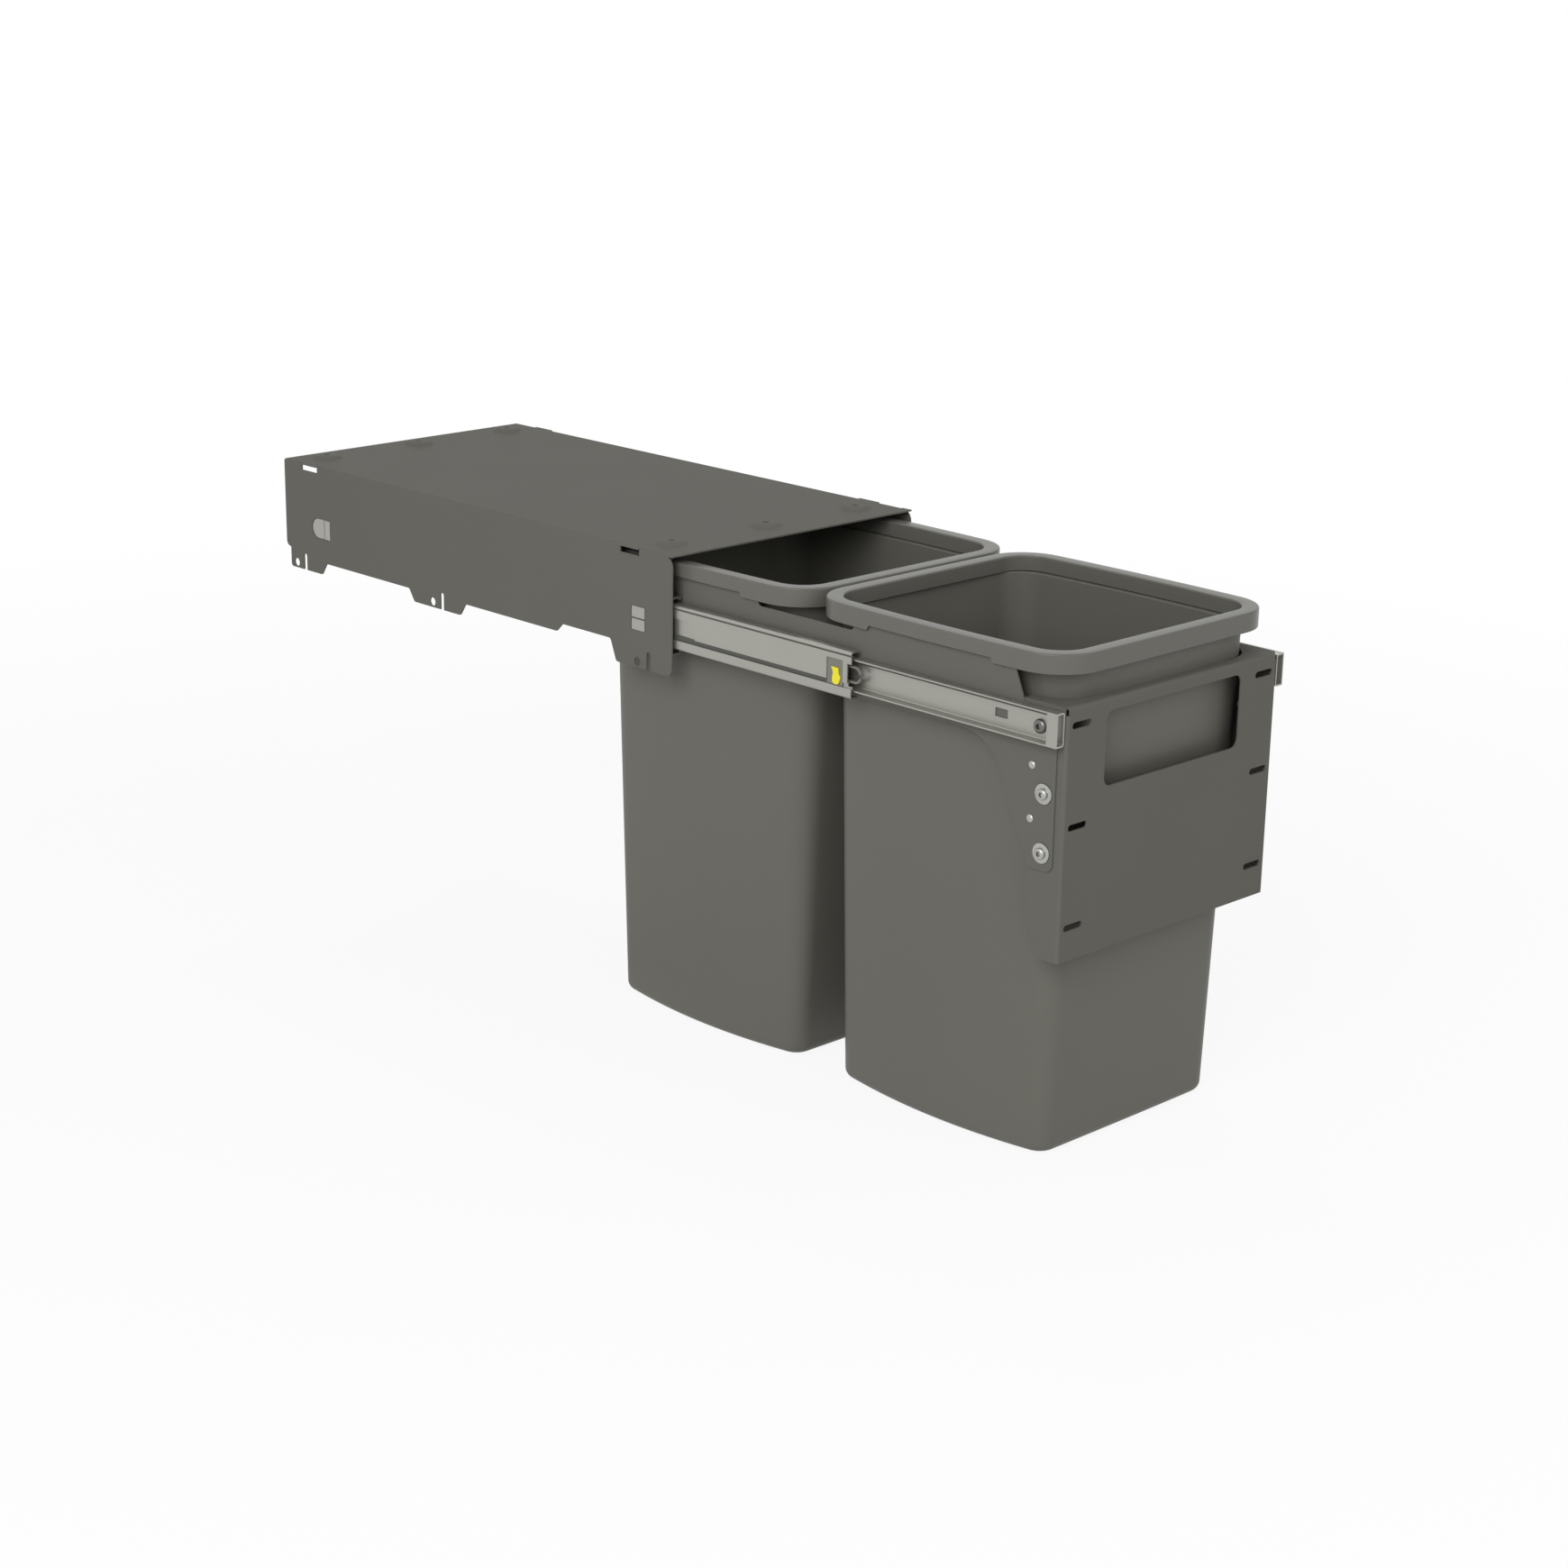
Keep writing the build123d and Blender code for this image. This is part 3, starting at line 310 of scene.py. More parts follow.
@dataclass(frozen=True)
class ZincPlate:
    """Bright zinc plate on rolled strip, with fine drawn lines along the slide."""

    colour: Colour = linear(168, 167, 160)
    tones: Pair = (0.93, 1.07)
    roughness: float = 0.36
    roughness_drift: float = 0.12
    metal: float = 0.86
    line_scale: float = 1500.0
    line_stretch: Triple = (1.0, 0.012, 1.0)
    line_share: float = 0.55
    cloud_scale: float = 38.0
    relief: Pair = (0.12, 0.00006)

    def make(self, name: str) -> Material:
        """Build the material."""
        shader = Shader(name)
        lines = shader.noise(self.line_scale, stretch=self.line_stretch)
        cloud = shader.noise(self.cloud_scale, detail=3.0)
        share = shader.blend(lines, cloud, self.line_share)
        shader.set(Base_Color=shader.tint(share, self.colour, self.tones), Metallic=self.metal,
                   Roughness=self.roughness + share * self.roughness_drift,
                   Normal=shader.bump(lines, *self.relief))
        return shader.material


@dataclass(frozen=True)
class TurnedSteel:
    """Bright plated steel of screws, washers, nuts and rivets."""

    colour: Colour = linear(178, 178, 174)
    tones: Pair = (0.9, 1.08)
    roughness: float = 0.24
    roughness_drift: float = 0.14
    cloud_scale: float = 900.0

    def make(self, name: str) -> Material:
        """Build the material."""
        shader = Shader(name)
        cloud = shader.noise(self.cloud_scale, detail=3.0)
        shader.set(Base_Color=shader.tint(cloud, self.colour, self.tones), Metallic=1.0,
                   Roughness=self.roughness + cloud * self.roughness_drift)
        return shader.material


@dataclass(frozen=True)
class Moulded:
    """Moulded plastic with a fine sparked grain and a slight flow pattern."""

    colour: Colour
    tones: Pair = (0.965, 1.035)
    roughness: float = 0.42
    roughness_drift: float = 0.1
    gloss: float = 0.2
    grain: float = 0.16
    grain_scale: float = 1700.0
    grain_depth: float = 0.0001
    flow: Triple = (1.0, 1.0, 0.25)
    flow_scale: float = 9.0
    flow_share: float = 0.75

    def make(self, name: str) -> Material:
        """Build the material."""
        shader = Shader(name)
        cloud = shader.noise(self.flow_scale, detail=3.0, stretch=self.flow)
        grain = shader.noise(self.grain_scale, detail=3.0)
        share = shader.blend(cloud, grain, self.flow_share)
        shader.set(Base_Color=shader.tint(share, self.colour, self.tones),
                   Roughness=self.roughness + grain * self.roughness_drift,
                   Specular_IOR_Level=self.gloss,
                   Normal=shader.bump(grain, self.grain, self.grain_depth))
        return shader.material


class Finish(Enum):
    """Finishes, each with the record's material slot that it belongs to."""

    PAINT = ("paint", PowderCoat())
    ZINC = ("zinc", ZincPlate())
    # painted shade: dark zinc laid where only shade falls, in the middle member's recessed tracks
    # and on the inner member's web under its top flange
    TRACK = ("zinc", ZincPlate(linear(84, 84, 79), roughness=0.5, metal=0.25))
    CAGE = ("cage", ZincPlate(linear(176, 176, 172), roughness=0.3))
    WASHER = ("screw", TurnedSteel())
    BUTTON = ("screw", TurnedSteel(linear(118, 118, 114), roughness=0.2))
    MOULDING = ("moulding", Moulded(linear(126, 125, 118), roughness=0.4))
    LATCH = ("latch", Moulded(linear(238, 228, 60), roughness=0.38, grain=0.08))
    BUCKET = ("bucket", Moulded(linear(106, 105, 98), roughness=0.4, grain=0.14))
    RING = ("ring", Moulded(linear(106, 105, 99), roughness=0.24, gloss=0.22, grain=0.12))

    @property
    def slot(self) -> str:
        """The record's slot."""
        return self.value[0]


MATERIALS = {finish: finish.value[1].make(finish.name.lower()) for finish in Finish}


# --- mesh helpers ---
def new_piece(name: str, mesh: Mesh) -> Object:
    """Link a mesh to the scene as a piece at the origin."""
    piece = bpy.data.objects.new(name, mesh)
    bpy.context.scene.collection.objects.link(piece)
    return piece


def soften(mesh: Mesh, angle: float) -> None:
    """Shade a mesh smooth, with edges sharper than an angle in degrees kept sharp."""
    work = bmesh.new()
    work.from_mesh(mesh)
    for face in work.faces:
        face.smooth = True
    for edge in work.edges:
        edge.smooth = len(edge.link_faces) == 2 and edge.calc_face_angle(0) < math.radians(angle)
    work.to_mesh(mesh)
    work.free()


def evaluated(piece: Object, name: str) -> Object:
    """Plain piece with the mesh that another's modifiers give; the first one is removed."""
    bpy.context.view_layer.update()
    graph = bpy.context.evaluated_depsgraph_get()
    mesh = bpy.data.meshes.new_from_object(piece.evaluated_get(graph))
    bpy.data.objects.remove(piece)
    mesh.name = name
    return new_piece(name, mesh)


def dress(piece: Object, body: str, finish: Finish, *nodes: str) -> Object:
    """Give a piece its finish and body, and hide the nodes that it stands for."""
    piece.data.materials.clear()
    piece.data.materials.append(MATERIALS[finish])
    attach(piece, body)
    finish.slot
    if nodes:
        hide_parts(*nodes)
    LOG.info("%s rides on %s: %d faces", piece.name, body, len(piece.data.polygons))
    return piece


def edged_copy(node: str, name: str, width: float, smooth: float = SHARP_ANGLE,
               cutter: "Mesh | None" = None) -> Object:
    """Copy of a node's mesh with its sharp edges rounded.

    Args:
        node: the node to copy.
        name: the new piece's name.
        width: width of the rounding in millimetres.
        smooth: edges sharper than this stay sharp in shading, in degrees.
        cutter: closed mesh that is cut away first.

    Returns:
        The new piece.
    """
    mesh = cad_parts[node].data.copy()
    work = bmesh.new()
    work.from_mesh(mesh)
    bmesh.ops.remove_doubles(work, verts=work.verts, dist=WELD_DISTANCE)
    bmesh.ops.dissolve_limit(work, angle_limit=math.radians(FLAT_ANGLE), verts=work.verts,
                             edges=work.edges)
    work.to_mesh(mesh)
    work.free()
    soften(mesh, smooth)
    piece = new_piece(name + "_plain", mesh)
    tool = new_piece(name + "_cutter", cutter) if cutter else None
    if tool:
        cut = piece.modifiers.new("cut", "BOOLEAN")
        cut.operation, cut.solver, cut.object = "DIFFERENCE", "EXACT", tool
    bevel = piece.modifiers.new("edges", "BEVEL")
    bevel.width = width * MM
    bevel.segments = 2
    bevel.limit_method = "ANGLE"
    bevel.angle_limit = math.radians(ROUNDED_ANGLE)
    bevel.use_clamp_overlap = True
    bevel.miter_outer = "MITER_ARC"
    even = piece.modifiers.new("even", "WEIGHTED_NORMAL")
    even.keep_sharp = True
    done = evaluated(piece, name)
    if tool:
        bpy.data.objects.remove(tool)
    return done


def quarter_arc(steps: int = ARC_STEPS) -> list[Pair]:
    """Sine and cosine of even turns over a quarter circle."""
    turns = [math.pi / 2 * n / steps for n in range(steps + 1)]
    return [(math.sin(turn), math.cos(turn)) for turn in turns]


def ring_of(radius: float, height: float) -> Loop:
    """Round loop across X at a height along it."""
    turns = [math.tau * n / ROUND_STEPS for n in range(ROUND_STEPS)]
    return [Vector((height, radius * math.cos(turn), radius * math.sin(turn))) for turn in turns]


def hexagon_of(radius: float, height: float) -> Loop:
    """Hexagonal loop across X, with as many points as a round one."""
    step = ROUND_STEPS // 6
    turns = [math.tau * n / 6 for n in range(7)]
    corners = [Vector((height, radius * math.cos(turn), radius * math.sin(turn))) for turn in turns]
    return [corners[n].lerp(corners[n + 1], part / step) for n in range(6) for part in range(step)]


def skin(name: str, loops: Sequence[Sequence[Vector]], tubular: bool = False) -> Mesh:
    """Closed mesh through loops of points.

    Args:
        name: the mesh's name.
        loops: loops with the same number of points.
        tubular: whether the last loop joins the first one; if not, both are filled.

    Returns:
        The mesh, in metres for loops in millimetres.
    """
    count = len(loops[0])
    work = bmesh.new()
    rows = [[work.verts.new(point * MM) for point in loop] for loop in loops]
    followers = rows[1:] + rows[:1] if tubular else rows[1:]
    for lower, upper in zip(rows, followers):
        for n in range(count):
            after = (n + 1) % count
            work.faces.new((lower[n], lower[after], upper[after], upper[n]))
    if not tubular:
        work.faces.new(rows[0][::-1])
        work.faces.new(rows[-1])
    bmesh.ops.recalc_face_normals(work, faces=work.faces)
    mesh = bpy.data.meshes.new(name)
    work.to_mesh(mesh)
    work.free()
    return mesh


def merged(name: str, meshes: Sequence[Mesh]) -> Mesh:
    """One mesh from several, which are used up."""
    work = bmesh.new()
    for mesh in meshes:
        work.from_mesh(mesh)
        bpy.data.meshes.remove(mesh)
    whole = bpy.data.meshes.new(name)
    work.to_mesh(whole)
    work.free()
    return whole


def block(x: Sequence[float], y: Sequence[float], z: Sequence[float]) -> Mesh:
    """Box between two values along each axis, in millimetres."""
    corners = ((x[0], y[0]), (x[1], y[0]), (x[1], y[1]), (x[0], y[1]))
    loops = [[Vector((*corner, height)) for corner in corners] for height in z]
    return skin("block", loops)


# --- plans of the moulded parts ---
@dataclass(frozen=True)
class Plan:
    """Plan with bulging sides and rounded corners, in millimetres."""

    half_x: float
    half_y: float
    bow_x: float
    bow_y: float
    radius: float

    def inset(self, amount: float) -> "Plan":
        """The plan drawn in all round."""
        return Plan(self.half_x - amount, self.half_y - amount, self.bow_x, self.bow_y,
                    self.radius - amount)

    def blend(self, other: "Plan", share: float) -> "Plan":
        """The plan part way to another one."""
        pairs = zip(astuple(self), astuple(other))
        return Plan(*[mine + share * (theirs - mine) for mine, theirs in pairs])

    def loop(self, middle_y: float, height: "float | Callable[[float, float], float]",
             marks: Sequence[float] = ()) -> Loop:
        """Points around the plan, as many for every plan with the same marks.

        Args:
            middle_y: the plan's middle along the slide.
            height: height of the points, or what gives it for a point of the plan.
            marks: distances from the middle of the long sides that get a point of their own.

        Returns:
            The points, turning left from the front's middle.
        """
        quarter = self.quarter(marks)
        turns = ((1, -1, quarter), (1, 1, quarter[::-1]), (-1, 1, quarter), (-1, -1, quarter[::-1]))
        flat = [(sx * x, sy * y) for sx, sy, points in turns for x, y in points]
        rise = height if callable(height) else lambda x, y: height
        return [Vector((x, middle_y + y, rise(x, y))) for x, y in flat]

    def quarter(self, marks: Sequence[float]) -> list[Pair]:
        """A quarter of the plan, from the back side's middle to the right side's."""
        side_x = Bulge(self.half_y - self.bow_y, self.half_x, self.bow_x)
        side_y = Bulge(self.half_x - self.bow_x, self.half_y, self.bow_y)
        cx, cy = corner_centre(side_x, side_y, self.radius)
        reach_x, top = side_y.touch(cx, cy)
        reach_y, right = side_x.touch(cy, cx)
        first = [reach_x * (n + 0.5) / SIDE_STEPS for n in range(SIDE_STEPS)]
        last = [reach_y * (n + 0.5) / SIDE_STEPS for n in range(SIDE_STEPS)] + list(marks)
        start = math.atan2(top - cy, reach_x - cx)
        stop = math.atan2(reach_y - cy, right - cx)
        turns = [start + (stop - start) * n / (CORNER_STEPS - 1) for n in range(CORNER_STEPS)]
        corner = [(cx + self.radius * math.cos(turn), cy + self.radius * math.sin(turn))
                  for turn in turns]
        rest = [(side_x.at(y), y) for y in sorted(last, reverse=True)]
        return [(x, side_y.at(x)) for x in first] + corner + rest


@dataclass(frozen=True)
class Bulge:
    """One bulging side, as a height over its length; its chord's end drops by the bow."""

    half_length: float
    height: float
    bow: float

    def circle(self) -> float:
        """Radius of the side's arc."""
        return (self.half_length * self.half_length + self.bow * self.bow) / (2 * self.bow)

    def at(self, along: float) -> float:
        """Height at a distance from the middle."""
        radius = self.circle()
        return self.height - radius + math.sqrt(radius * radius - along * along)

    def touch(self, along: float, up: float) -> Pair:
        """Point of the side's arc nearest a corner's centre."""
        radius = self.circle()
        centre = self.height - radius
        angle = math.atan2(along, up - centre)
        return radius * math.sin(angle), centre + radius * math.cos(angle)


def corner_centre(side_x: Bulge, side_y: Bulge, radius: float) -> Pair:
    """Centre of the round corner that touches both sides' arcs."""
    x = side_x.height - radius
    y = side_y.height - radius
    for _ in range(CORNER_PASSES):
        inner_x, inner_y = side_x.circle() - radius, side_y.circle() - radius
        x = side_x.height - side_x.circle() + math.sqrt(inner_x * inner_x - y * y)
        y = side_y.height - side_y.circle() + math.sqrt(inner_y * inner_y - x * x)
    return x, y


# --- what repeats ---
def fastener_recipe() -> Recipe:
    """Tree that sets a turned piece on every point, facing its own side and turned at random."""
    sizes = {"Template": "NodeSocketObject", "Turn": "NodeSocketFloat", "Seed": "NodeSocketInt"}
    recipe = Recipe("fastener_row", sizes)
    template = recipe.node("GeometryNodeObjectInfo", {}, {"Object": recipe.given("Template")},
                           "Geometry")
    facing = recipe.node("GeometryNodeInputNamedAttribute", {"data_type": "FLOAT"},
                         {"Name": "facing"})
    turn = recipe.node("FunctionNodeRandomValue", {"data_type": "FLOAT"},
                       {2: 0.0, 3: recipe.given("Turn"), "Seed": recipe.given("Seed")}, 1)
    recipe.finish(recipe.spread(recipe.given("Geometry"), template,
                                Rotation=recipe.vector(X=turn, Z=facing)))
    return recipe


def cage_recipe() -> Recipe:
    """Tree of a ball cage: on every point a strip with round pockets and a ball in each pocket."""
    lengths = ("Length", "Width", "Sheet", "Ball radius", "Clearance", "End inset")
    sizes = {label: "NodeSocketFloat" for label in lengths}
    recipe = Recipe("ball_cage", {**sizes, "Balls": "NodeSocketInt"})
    length, width, sheet, radius, clearance, inset = (recipe.given(label) for label in lengths)
    count = recipe.given("Balls")
    pitch = (length - 2 * inset) / (count - 1)
    row = recipe.node("GeometryNodeMeshLine", {"mode": "OFFSET"}, {
        "Count": count, "Start Location": recipe.vector(Y=inset),
        "Offset": recipe.vector(Y=pitch)}, "Mesh")
    ball = recipe.node("GeometryNodeMeshUVSphere", {}, {
        "Segments": BALL_STEPS, "Rings": BALL_RINGS, "Radius": radius}, "Mesh")
    ball = recipe.node("GeometryNodeSetShadeSmooth", {}, {"Geometry": ball, "Shade Smooth": True})
    balls = recipe.spread(row, ball)
    pocket = recipe.node("GeometryNodeMeshCylinder", {}, {
        "Vertices": BALL_STEPS, "Radius": radius + clearance, "Depth": POCKET_DEPTH}, "Mesh")
    pockets = recipe.node("GeometryNodeRealizeInstances", {}, {
        "Geometry": recipe.spread(row, pocket)})
    strip = recipe.node("GeometryNodeMeshCube", {}, {
        "Size": recipe.vector(X=width, Y=length, Z=sheet)}, "Mesh")
    strip = recipe.node("GeometryNodeTransform", {}, {
        "Geometry": strip, "Translation": recipe.vector(Y=length * 0.5)})
    strip = recipe.node("GeometryNodeMeshBoolean", {"operation": "DIFFERENCE"},
                        {0: strip, 1: pockets}, "Mesh")
    whole = recipe.node("GeometryNodeJoinGeometry", {}, {"Geometry": [balls, strip]})
    recipe.finish(recipe.spread(recipe.given("Geometry"), whole))
    return recipe


def point_mesh(name: str, points: Sequence[Triple], facing: Sequence[float] = ()) -> Mesh:
    """Mesh of loose points in millimetres, with the turn about Z that each faces."""
    mesh = bpy.data.meshes.new(name)
    mesh.from_pydata([Vector(point) * MM for point in points], [], [])
    if facing:
        mesh.attributes.new("facing", "FLOAT", "POINT").data.foreach_set("value", list(facing))
    return mesh


# --- places shared by the pieces ---
@dataclass(frozen=True)
class Layout:
    """Where the pieces stand, in millimetres; they match the solids."""

    front_y: float = -259.5
    top_z: float = -2.5
    plate_x: float = 118.1
    bracket_x: float = 116.9
    web_x: float = 119.3
    wall_x: float = 130.8
    slide_depth: float = 55.8
    screw_drop: float = 1.5
    leg_sheet: float = 1.5
    slide_front: float = -383.0
    panel_front: float = -384.5
    bucket_backs: Sequence[tuple[str, float]] = (("front", -256.8), ("back", -3.8))

    def y(self, back: float) -> float:
        """Y of a distance behind the cover's front edge."""
        return self.front_y + back

    def z(self, depth: float) -> float:
        """Z of a depth below the cover's top face."""
        return self.top_z - depth


LAYOUT = Layout()


# --- sheet metal ---
@dataclass(frozen=True)
class Tongue:
    """Round-ended rear tongue of the fixed slide members, in millimetres."""

    front: float = 441.5
    straight: float = 17.3
    half: float = 8.5
    rise: float = 1.1
    steps: int = 16
    joggle: Pair = (0.44, 0.52)
    ease: float = 0.1
    front_reach: Pair = (-1.0, 0.1)
    rear_reach: Pair = (-0.6, 0.1)
    window_gap: float = 0.5
    window_reach: Pair = (-2.0, 0.2)

    def part(self, side: int, stretch: Pair, grow: float, reach: Pair) -> Mesh:
        """Part of the tongue.

        Args:
            side: -1 for the left side, 1 for the right.
            stretch: where it starts and ends, as shares of the straight length; 1 adds the end.
            grow: how much larger the outline is all round.
            reach: distances inwards from the cover's flange that it lies between.

        Returns:
            The closed mesh.
        """
        start, stop = stretch
        middle = Vector((0, LAYOUT.y(self.front), LAYOUT.z(LAYOUT.slide_depth - self.rise)))
        high = self.half + grow
        low_y = self.straight * start - (grow if start == 0 else 0)
        corners = [(low_y, -high), (low_y, high)]
        if stop == 1:
            turns = [math.pi / 2 - math.pi * n / self.steps for n in range(self.steps + 1)]
            corners += [(self.straight + high * math.cos(turn), high * math.sin(turn))
                        for turn in turns]
        else:
            corners += [(self.straight * stop, high), (self.straight * stop, -high)]
        loops = [[middle + Vector((side * (LAYOUT.wall_x - u), y, z)) for y, z in corners]
                 for u in reach]
        return skin("tongue", loops)

    def window(self, side: int) -> Mesh:
        """What opens the tongue's window in the cover."""
        return self.part(side, (0, 1), self.window_gap, self.window_reach)

    def plate(self, side: int) -> Mesh:
        """The tongue, with its front part proud of its rear part."""
        front_end, rear_start = self.joggle
        front = self.part(side, (0, front_end), -self.ease, self.front_reach)
        rear = self.part(side, (rear_start, 1), -self.ease, self.rear_reach)
        return merged("tongue", [front, rear])


@dataclass(frozen=True)
class SheetWork:
    """Folded sheets of the cover and the drawer, with broken edges, in millimetres."""

    edge: float = 0.28
    lobe_holes: Sequence[float] = (39.8, 298.0, 491.5)
    lobe_hole_depth: float = 90.3
    lobe_hole_radius: float = 3.6
    bar_ends: Pair = (-140.0, 140.0)
    shelf: Pair = (39.0, 44.0)
    shelf_clearance: float = 1.7
    relief: float = 2.8
    fold_depth: float = 41.0
    past: float = 1.0
    pieces: Sequence[tuple[str, str]] = (
        ("cover_frame", "frame"), ("side_plate_left", "drawer"), ("side_plate_right", "drawer"),
        ("rear_cross_tie", "drawer"), ("door_bracket", "drawer"))

    def build(self) -> None:
        """Dress every sheet."""
        cutters = {"cover_frame": self.windows(), "door_bracket": self.opening()}
        for node, body in self.pieces:
            piece = edged_copy(node, node + "_coated", self.edge, cutter=cutters.get(node))
            dress(piece, body, Finish.PAINT, node)

    def windows(self) -> Mesh:
        """What opens the lobes' screw holes to their full size, and the tongues' windows."""
        bars = []
        for back in self.lobe_holes:
            centre = Vector((0, LAYOUT.y(back), LAYOUT.z(self.lobe_hole_depth)))
            ends = [[point + centre for point in ring_of(self.lobe_hole_radius, x)]
                    for x in self.bar_ends]
            bars.append(skin("bar", ends))
        return merged("windows", bars + [TONGUE.window(side) for side in SIDES.values()])

    def opening(self) -> Mesh:
        """Room for the front bucket in the bracket's shelf, and the slits at its corners."""
        name, back = LAYOUT.bucket_backs[0]
        room = Tub(name, back).top.inset(-self.shelf_clearance)
        loops = [room.loop(LAYOUT.y(back), LAYOUT.z(depth)) for depth in self.shelf]
        front, top, slit = LAYOUT.y(LAYOUT.panel_front), LAYOUT.z(self.fold_depth), self.relief
        outer, inner = LAYOUT.bracket_x + self.past / 2, LAYOUT.bracket_x - slit
        slits = [block(sorted((side * inner, side * outer)), (front - self.past, front + slit),
                       (top - 2 * slit, top + self.past)) for side in SIDES.values()]
        return merged("opening", [skin("room", loops), *slits])


TONGUE = Tongue()


# --- slides ---
@dataclass(frozen=True)
class Track:
    """Pressed track along a middle member: its depth, heights and start, in millimetres."""

    floor: float
    heights: Pair
    start: float


@dataclass(frozen=True)
class BallSlide:
    """Telescopic slide: members, cages, stop, end piece and catch, in millimetres.

    Distances inwards are from the cover's flange, and heights from the slide's middle.
    """

    side: str
    edge: float = 0.2
    small_pieces: Sequence[tuple[str, str, Finish, float]] = (
        ("slide_bumper_{}", "frame", Finish.MOULDING, 0.5),
        ("slide_end_piece_{}", "middle_{}", Finish.MOULDING, 0.25),
        ("latch_insert_{}", "middle_{}", Finish.LATCH, 0.25))
    small_smooth: float = 42.0
    latch_widening: float = 1.35
    middle_front: float = -189.5
    middle_length: float = 486.0
    tracks: Sequence[Track] = (Track(2.9, (-10.6, -5.4), 21.0), Track(2.2, (13.9, 15.3), -1.0))
    track_past: float = 1.0
    # painted shade: where the dark strips in the pressed tracks lie, and how far short of the rear
    # end they stop
    lining: Pair = (-0.1, 0.05)
    lining_short: float = 0.5
    hook: tuple[Pair, Pair, Pair] = ((-2.0, -0.02), (440.0, 459.0), (-8.0, 8.0))
    end_tab: Pair = (3.8, 4.25)
    end_tab_length: float = 9.3
    end_tab_height: float = 14.0
    inner_length: float = 490.0
    inner_web: Pair = (11.35, 11.6)
    # painted shade: the dark strip on the web where the top flange's shadow falls, its ends and
    # heights
    score_ends: Pair = (12.0, 1.0)
    score: Pair = (7.3, 8.5)
    mark_back: float = 32.8
    mark_half: float = 1.9
    mark: Pair = (-2.0, -1.1)
    cage_length: float = 225.0
    cage_width: float = 4.6
    cage_sheet: float = 0.8
    balls: int = 4
    ball_inset: float = 8.0
    ball_clearance: float = 0.15
    races: Sequence[tuple[str, float, float]] = (("outer", 17.7, 21.55), ("inner", 12.3, 16.5))
    race_clearance: float = 0.25

    def build(self, cage: Recipe) -> None:
        """Build and dress the slide, with the tree that makes its cages."""
        middle = f"middle_{self.side}"
        for member, body in (("outer", "frame"), ("middle", middle), ("inner", "drawer")):
            node = f"slide_{member}_{self.side}"
            piece = edged_copy(node, node + "_rolled", self.edge, cutter=self.cutter(member))
            dress(piece, body, Finish.ZINC, node)
        # dark strips of painted shade in the recessed tracks, where the channel is in shade
        lining = merged("lining", self.along_tracks(self.lining, -self.lining_short))
        self.add("slide_tracks", lining, middle, Finish.TRACK)
        tongue = TONGUE.plate(SIDES[self.side])
        soften(tongue, SHARP_ANGLE)
        self.add("slide_tongue", tongue, "frame", Finish.ZINC)
        self.build_web_strips()
        self.build_small_pieces()
        for name, low, high in self.races:
            self.build_cage(name, (high - low) / 2 - self.race_clearance, cage)

    def add(self, name: str, mesh: Mesh, body: str, finish: Finish) -> None:
        """Add this side's piece of a name, which stands for no solid."""
        mesh.name = f"{name}_{self.side}"
        dress(new_piece(mesh.name, mesh), body, finish)

    def box(self, reach: Pair, backs: Pair, heights: Pair) -> Mesh:
        """Box between two distances inwards, two backs and two heights."""
        x = sorted(SIDES[self.side] * (LAYOUT.wall_x - u) for u in reach)
        middle = LAYOUT.z(LAYOUT.slide_depth)
        return block(x, [LAYOUT.y(back) for back in backs], [middle + height for height in heights])

    def cutter(self, member: str) -> Mesh:
        """What is cut from a member: its square rear hook, its tracks, or a hair off its tab."""
        if member == "outer":
            return self.box(*self.hook)
        if member == "middle":
            return merged("tracks", self.along_tracks((-self.track_past, 0.0), self.track_past))
        front, height = LAYOUT.slide_front, self.end_tab_height
        backs = (front - self.track_past, front + self.end_tab_length)
        return self.box(self.end_tab, backs, (-height, height))

    def along_tracks(self, reach: Pair, past: float) -> list[Mesh]:
        """Boxes along the middle member's pressed tracks.

        Args:
            reach: distances inwards from the tracks' floors that they lie between.
            past: how far they run past the member's rear end.

        Returns:
            One box for each track.
        """
        rear = self.middle_front + self.middle_length + past
        return [self.box([track.floor + u for u in reach], (self.middle_front + track.start, rear),
                         track.heights) for track in self.tracks]

    def build_web_strips(self) -> None:
        """Add a dark strip of painted shade under the top flange, and the light punch mark, on the
        inner member's web.
        """
        front = LAYOUT.slide_front
        start, stop = self.score_ends
        line = (front + start, front + self.inner_length - stop)
        middle = front + self.mark_back
        mark = (middle - self.mark_half, middle + self.mark_half)
        for name, backs, heights, finish in (("slide_score", line, self.score, Finish.TRACK),
                                             ("slide_mark", mark, self.mark, Finish.WASHER)):
            self.add(name, self.box(self.inner_web, backs, heights), "drawer", finish)

    def build_small_pieces(self) -> None:
        """Dress the stop, the end piece and the catch, which is stretched from its front end."""
        for pattern, carrier, finish, width in self.small_pieces:
            node, body = pattern.format(self.side), carrier.format(self.side)
            piece = edged_copy(node, node + "_moulded", width, smooth=self.small_smooth)
            if finish is Finish.LATCH:
                vertices = piece.data.vertices
                front = min(vertex.co.y for vertex in vertices)
                for vertex in vertices:
                    vertex.co.y = front + (vertex.co.y - front) * self.latch_widening
            dress(piece, body, finish, node)

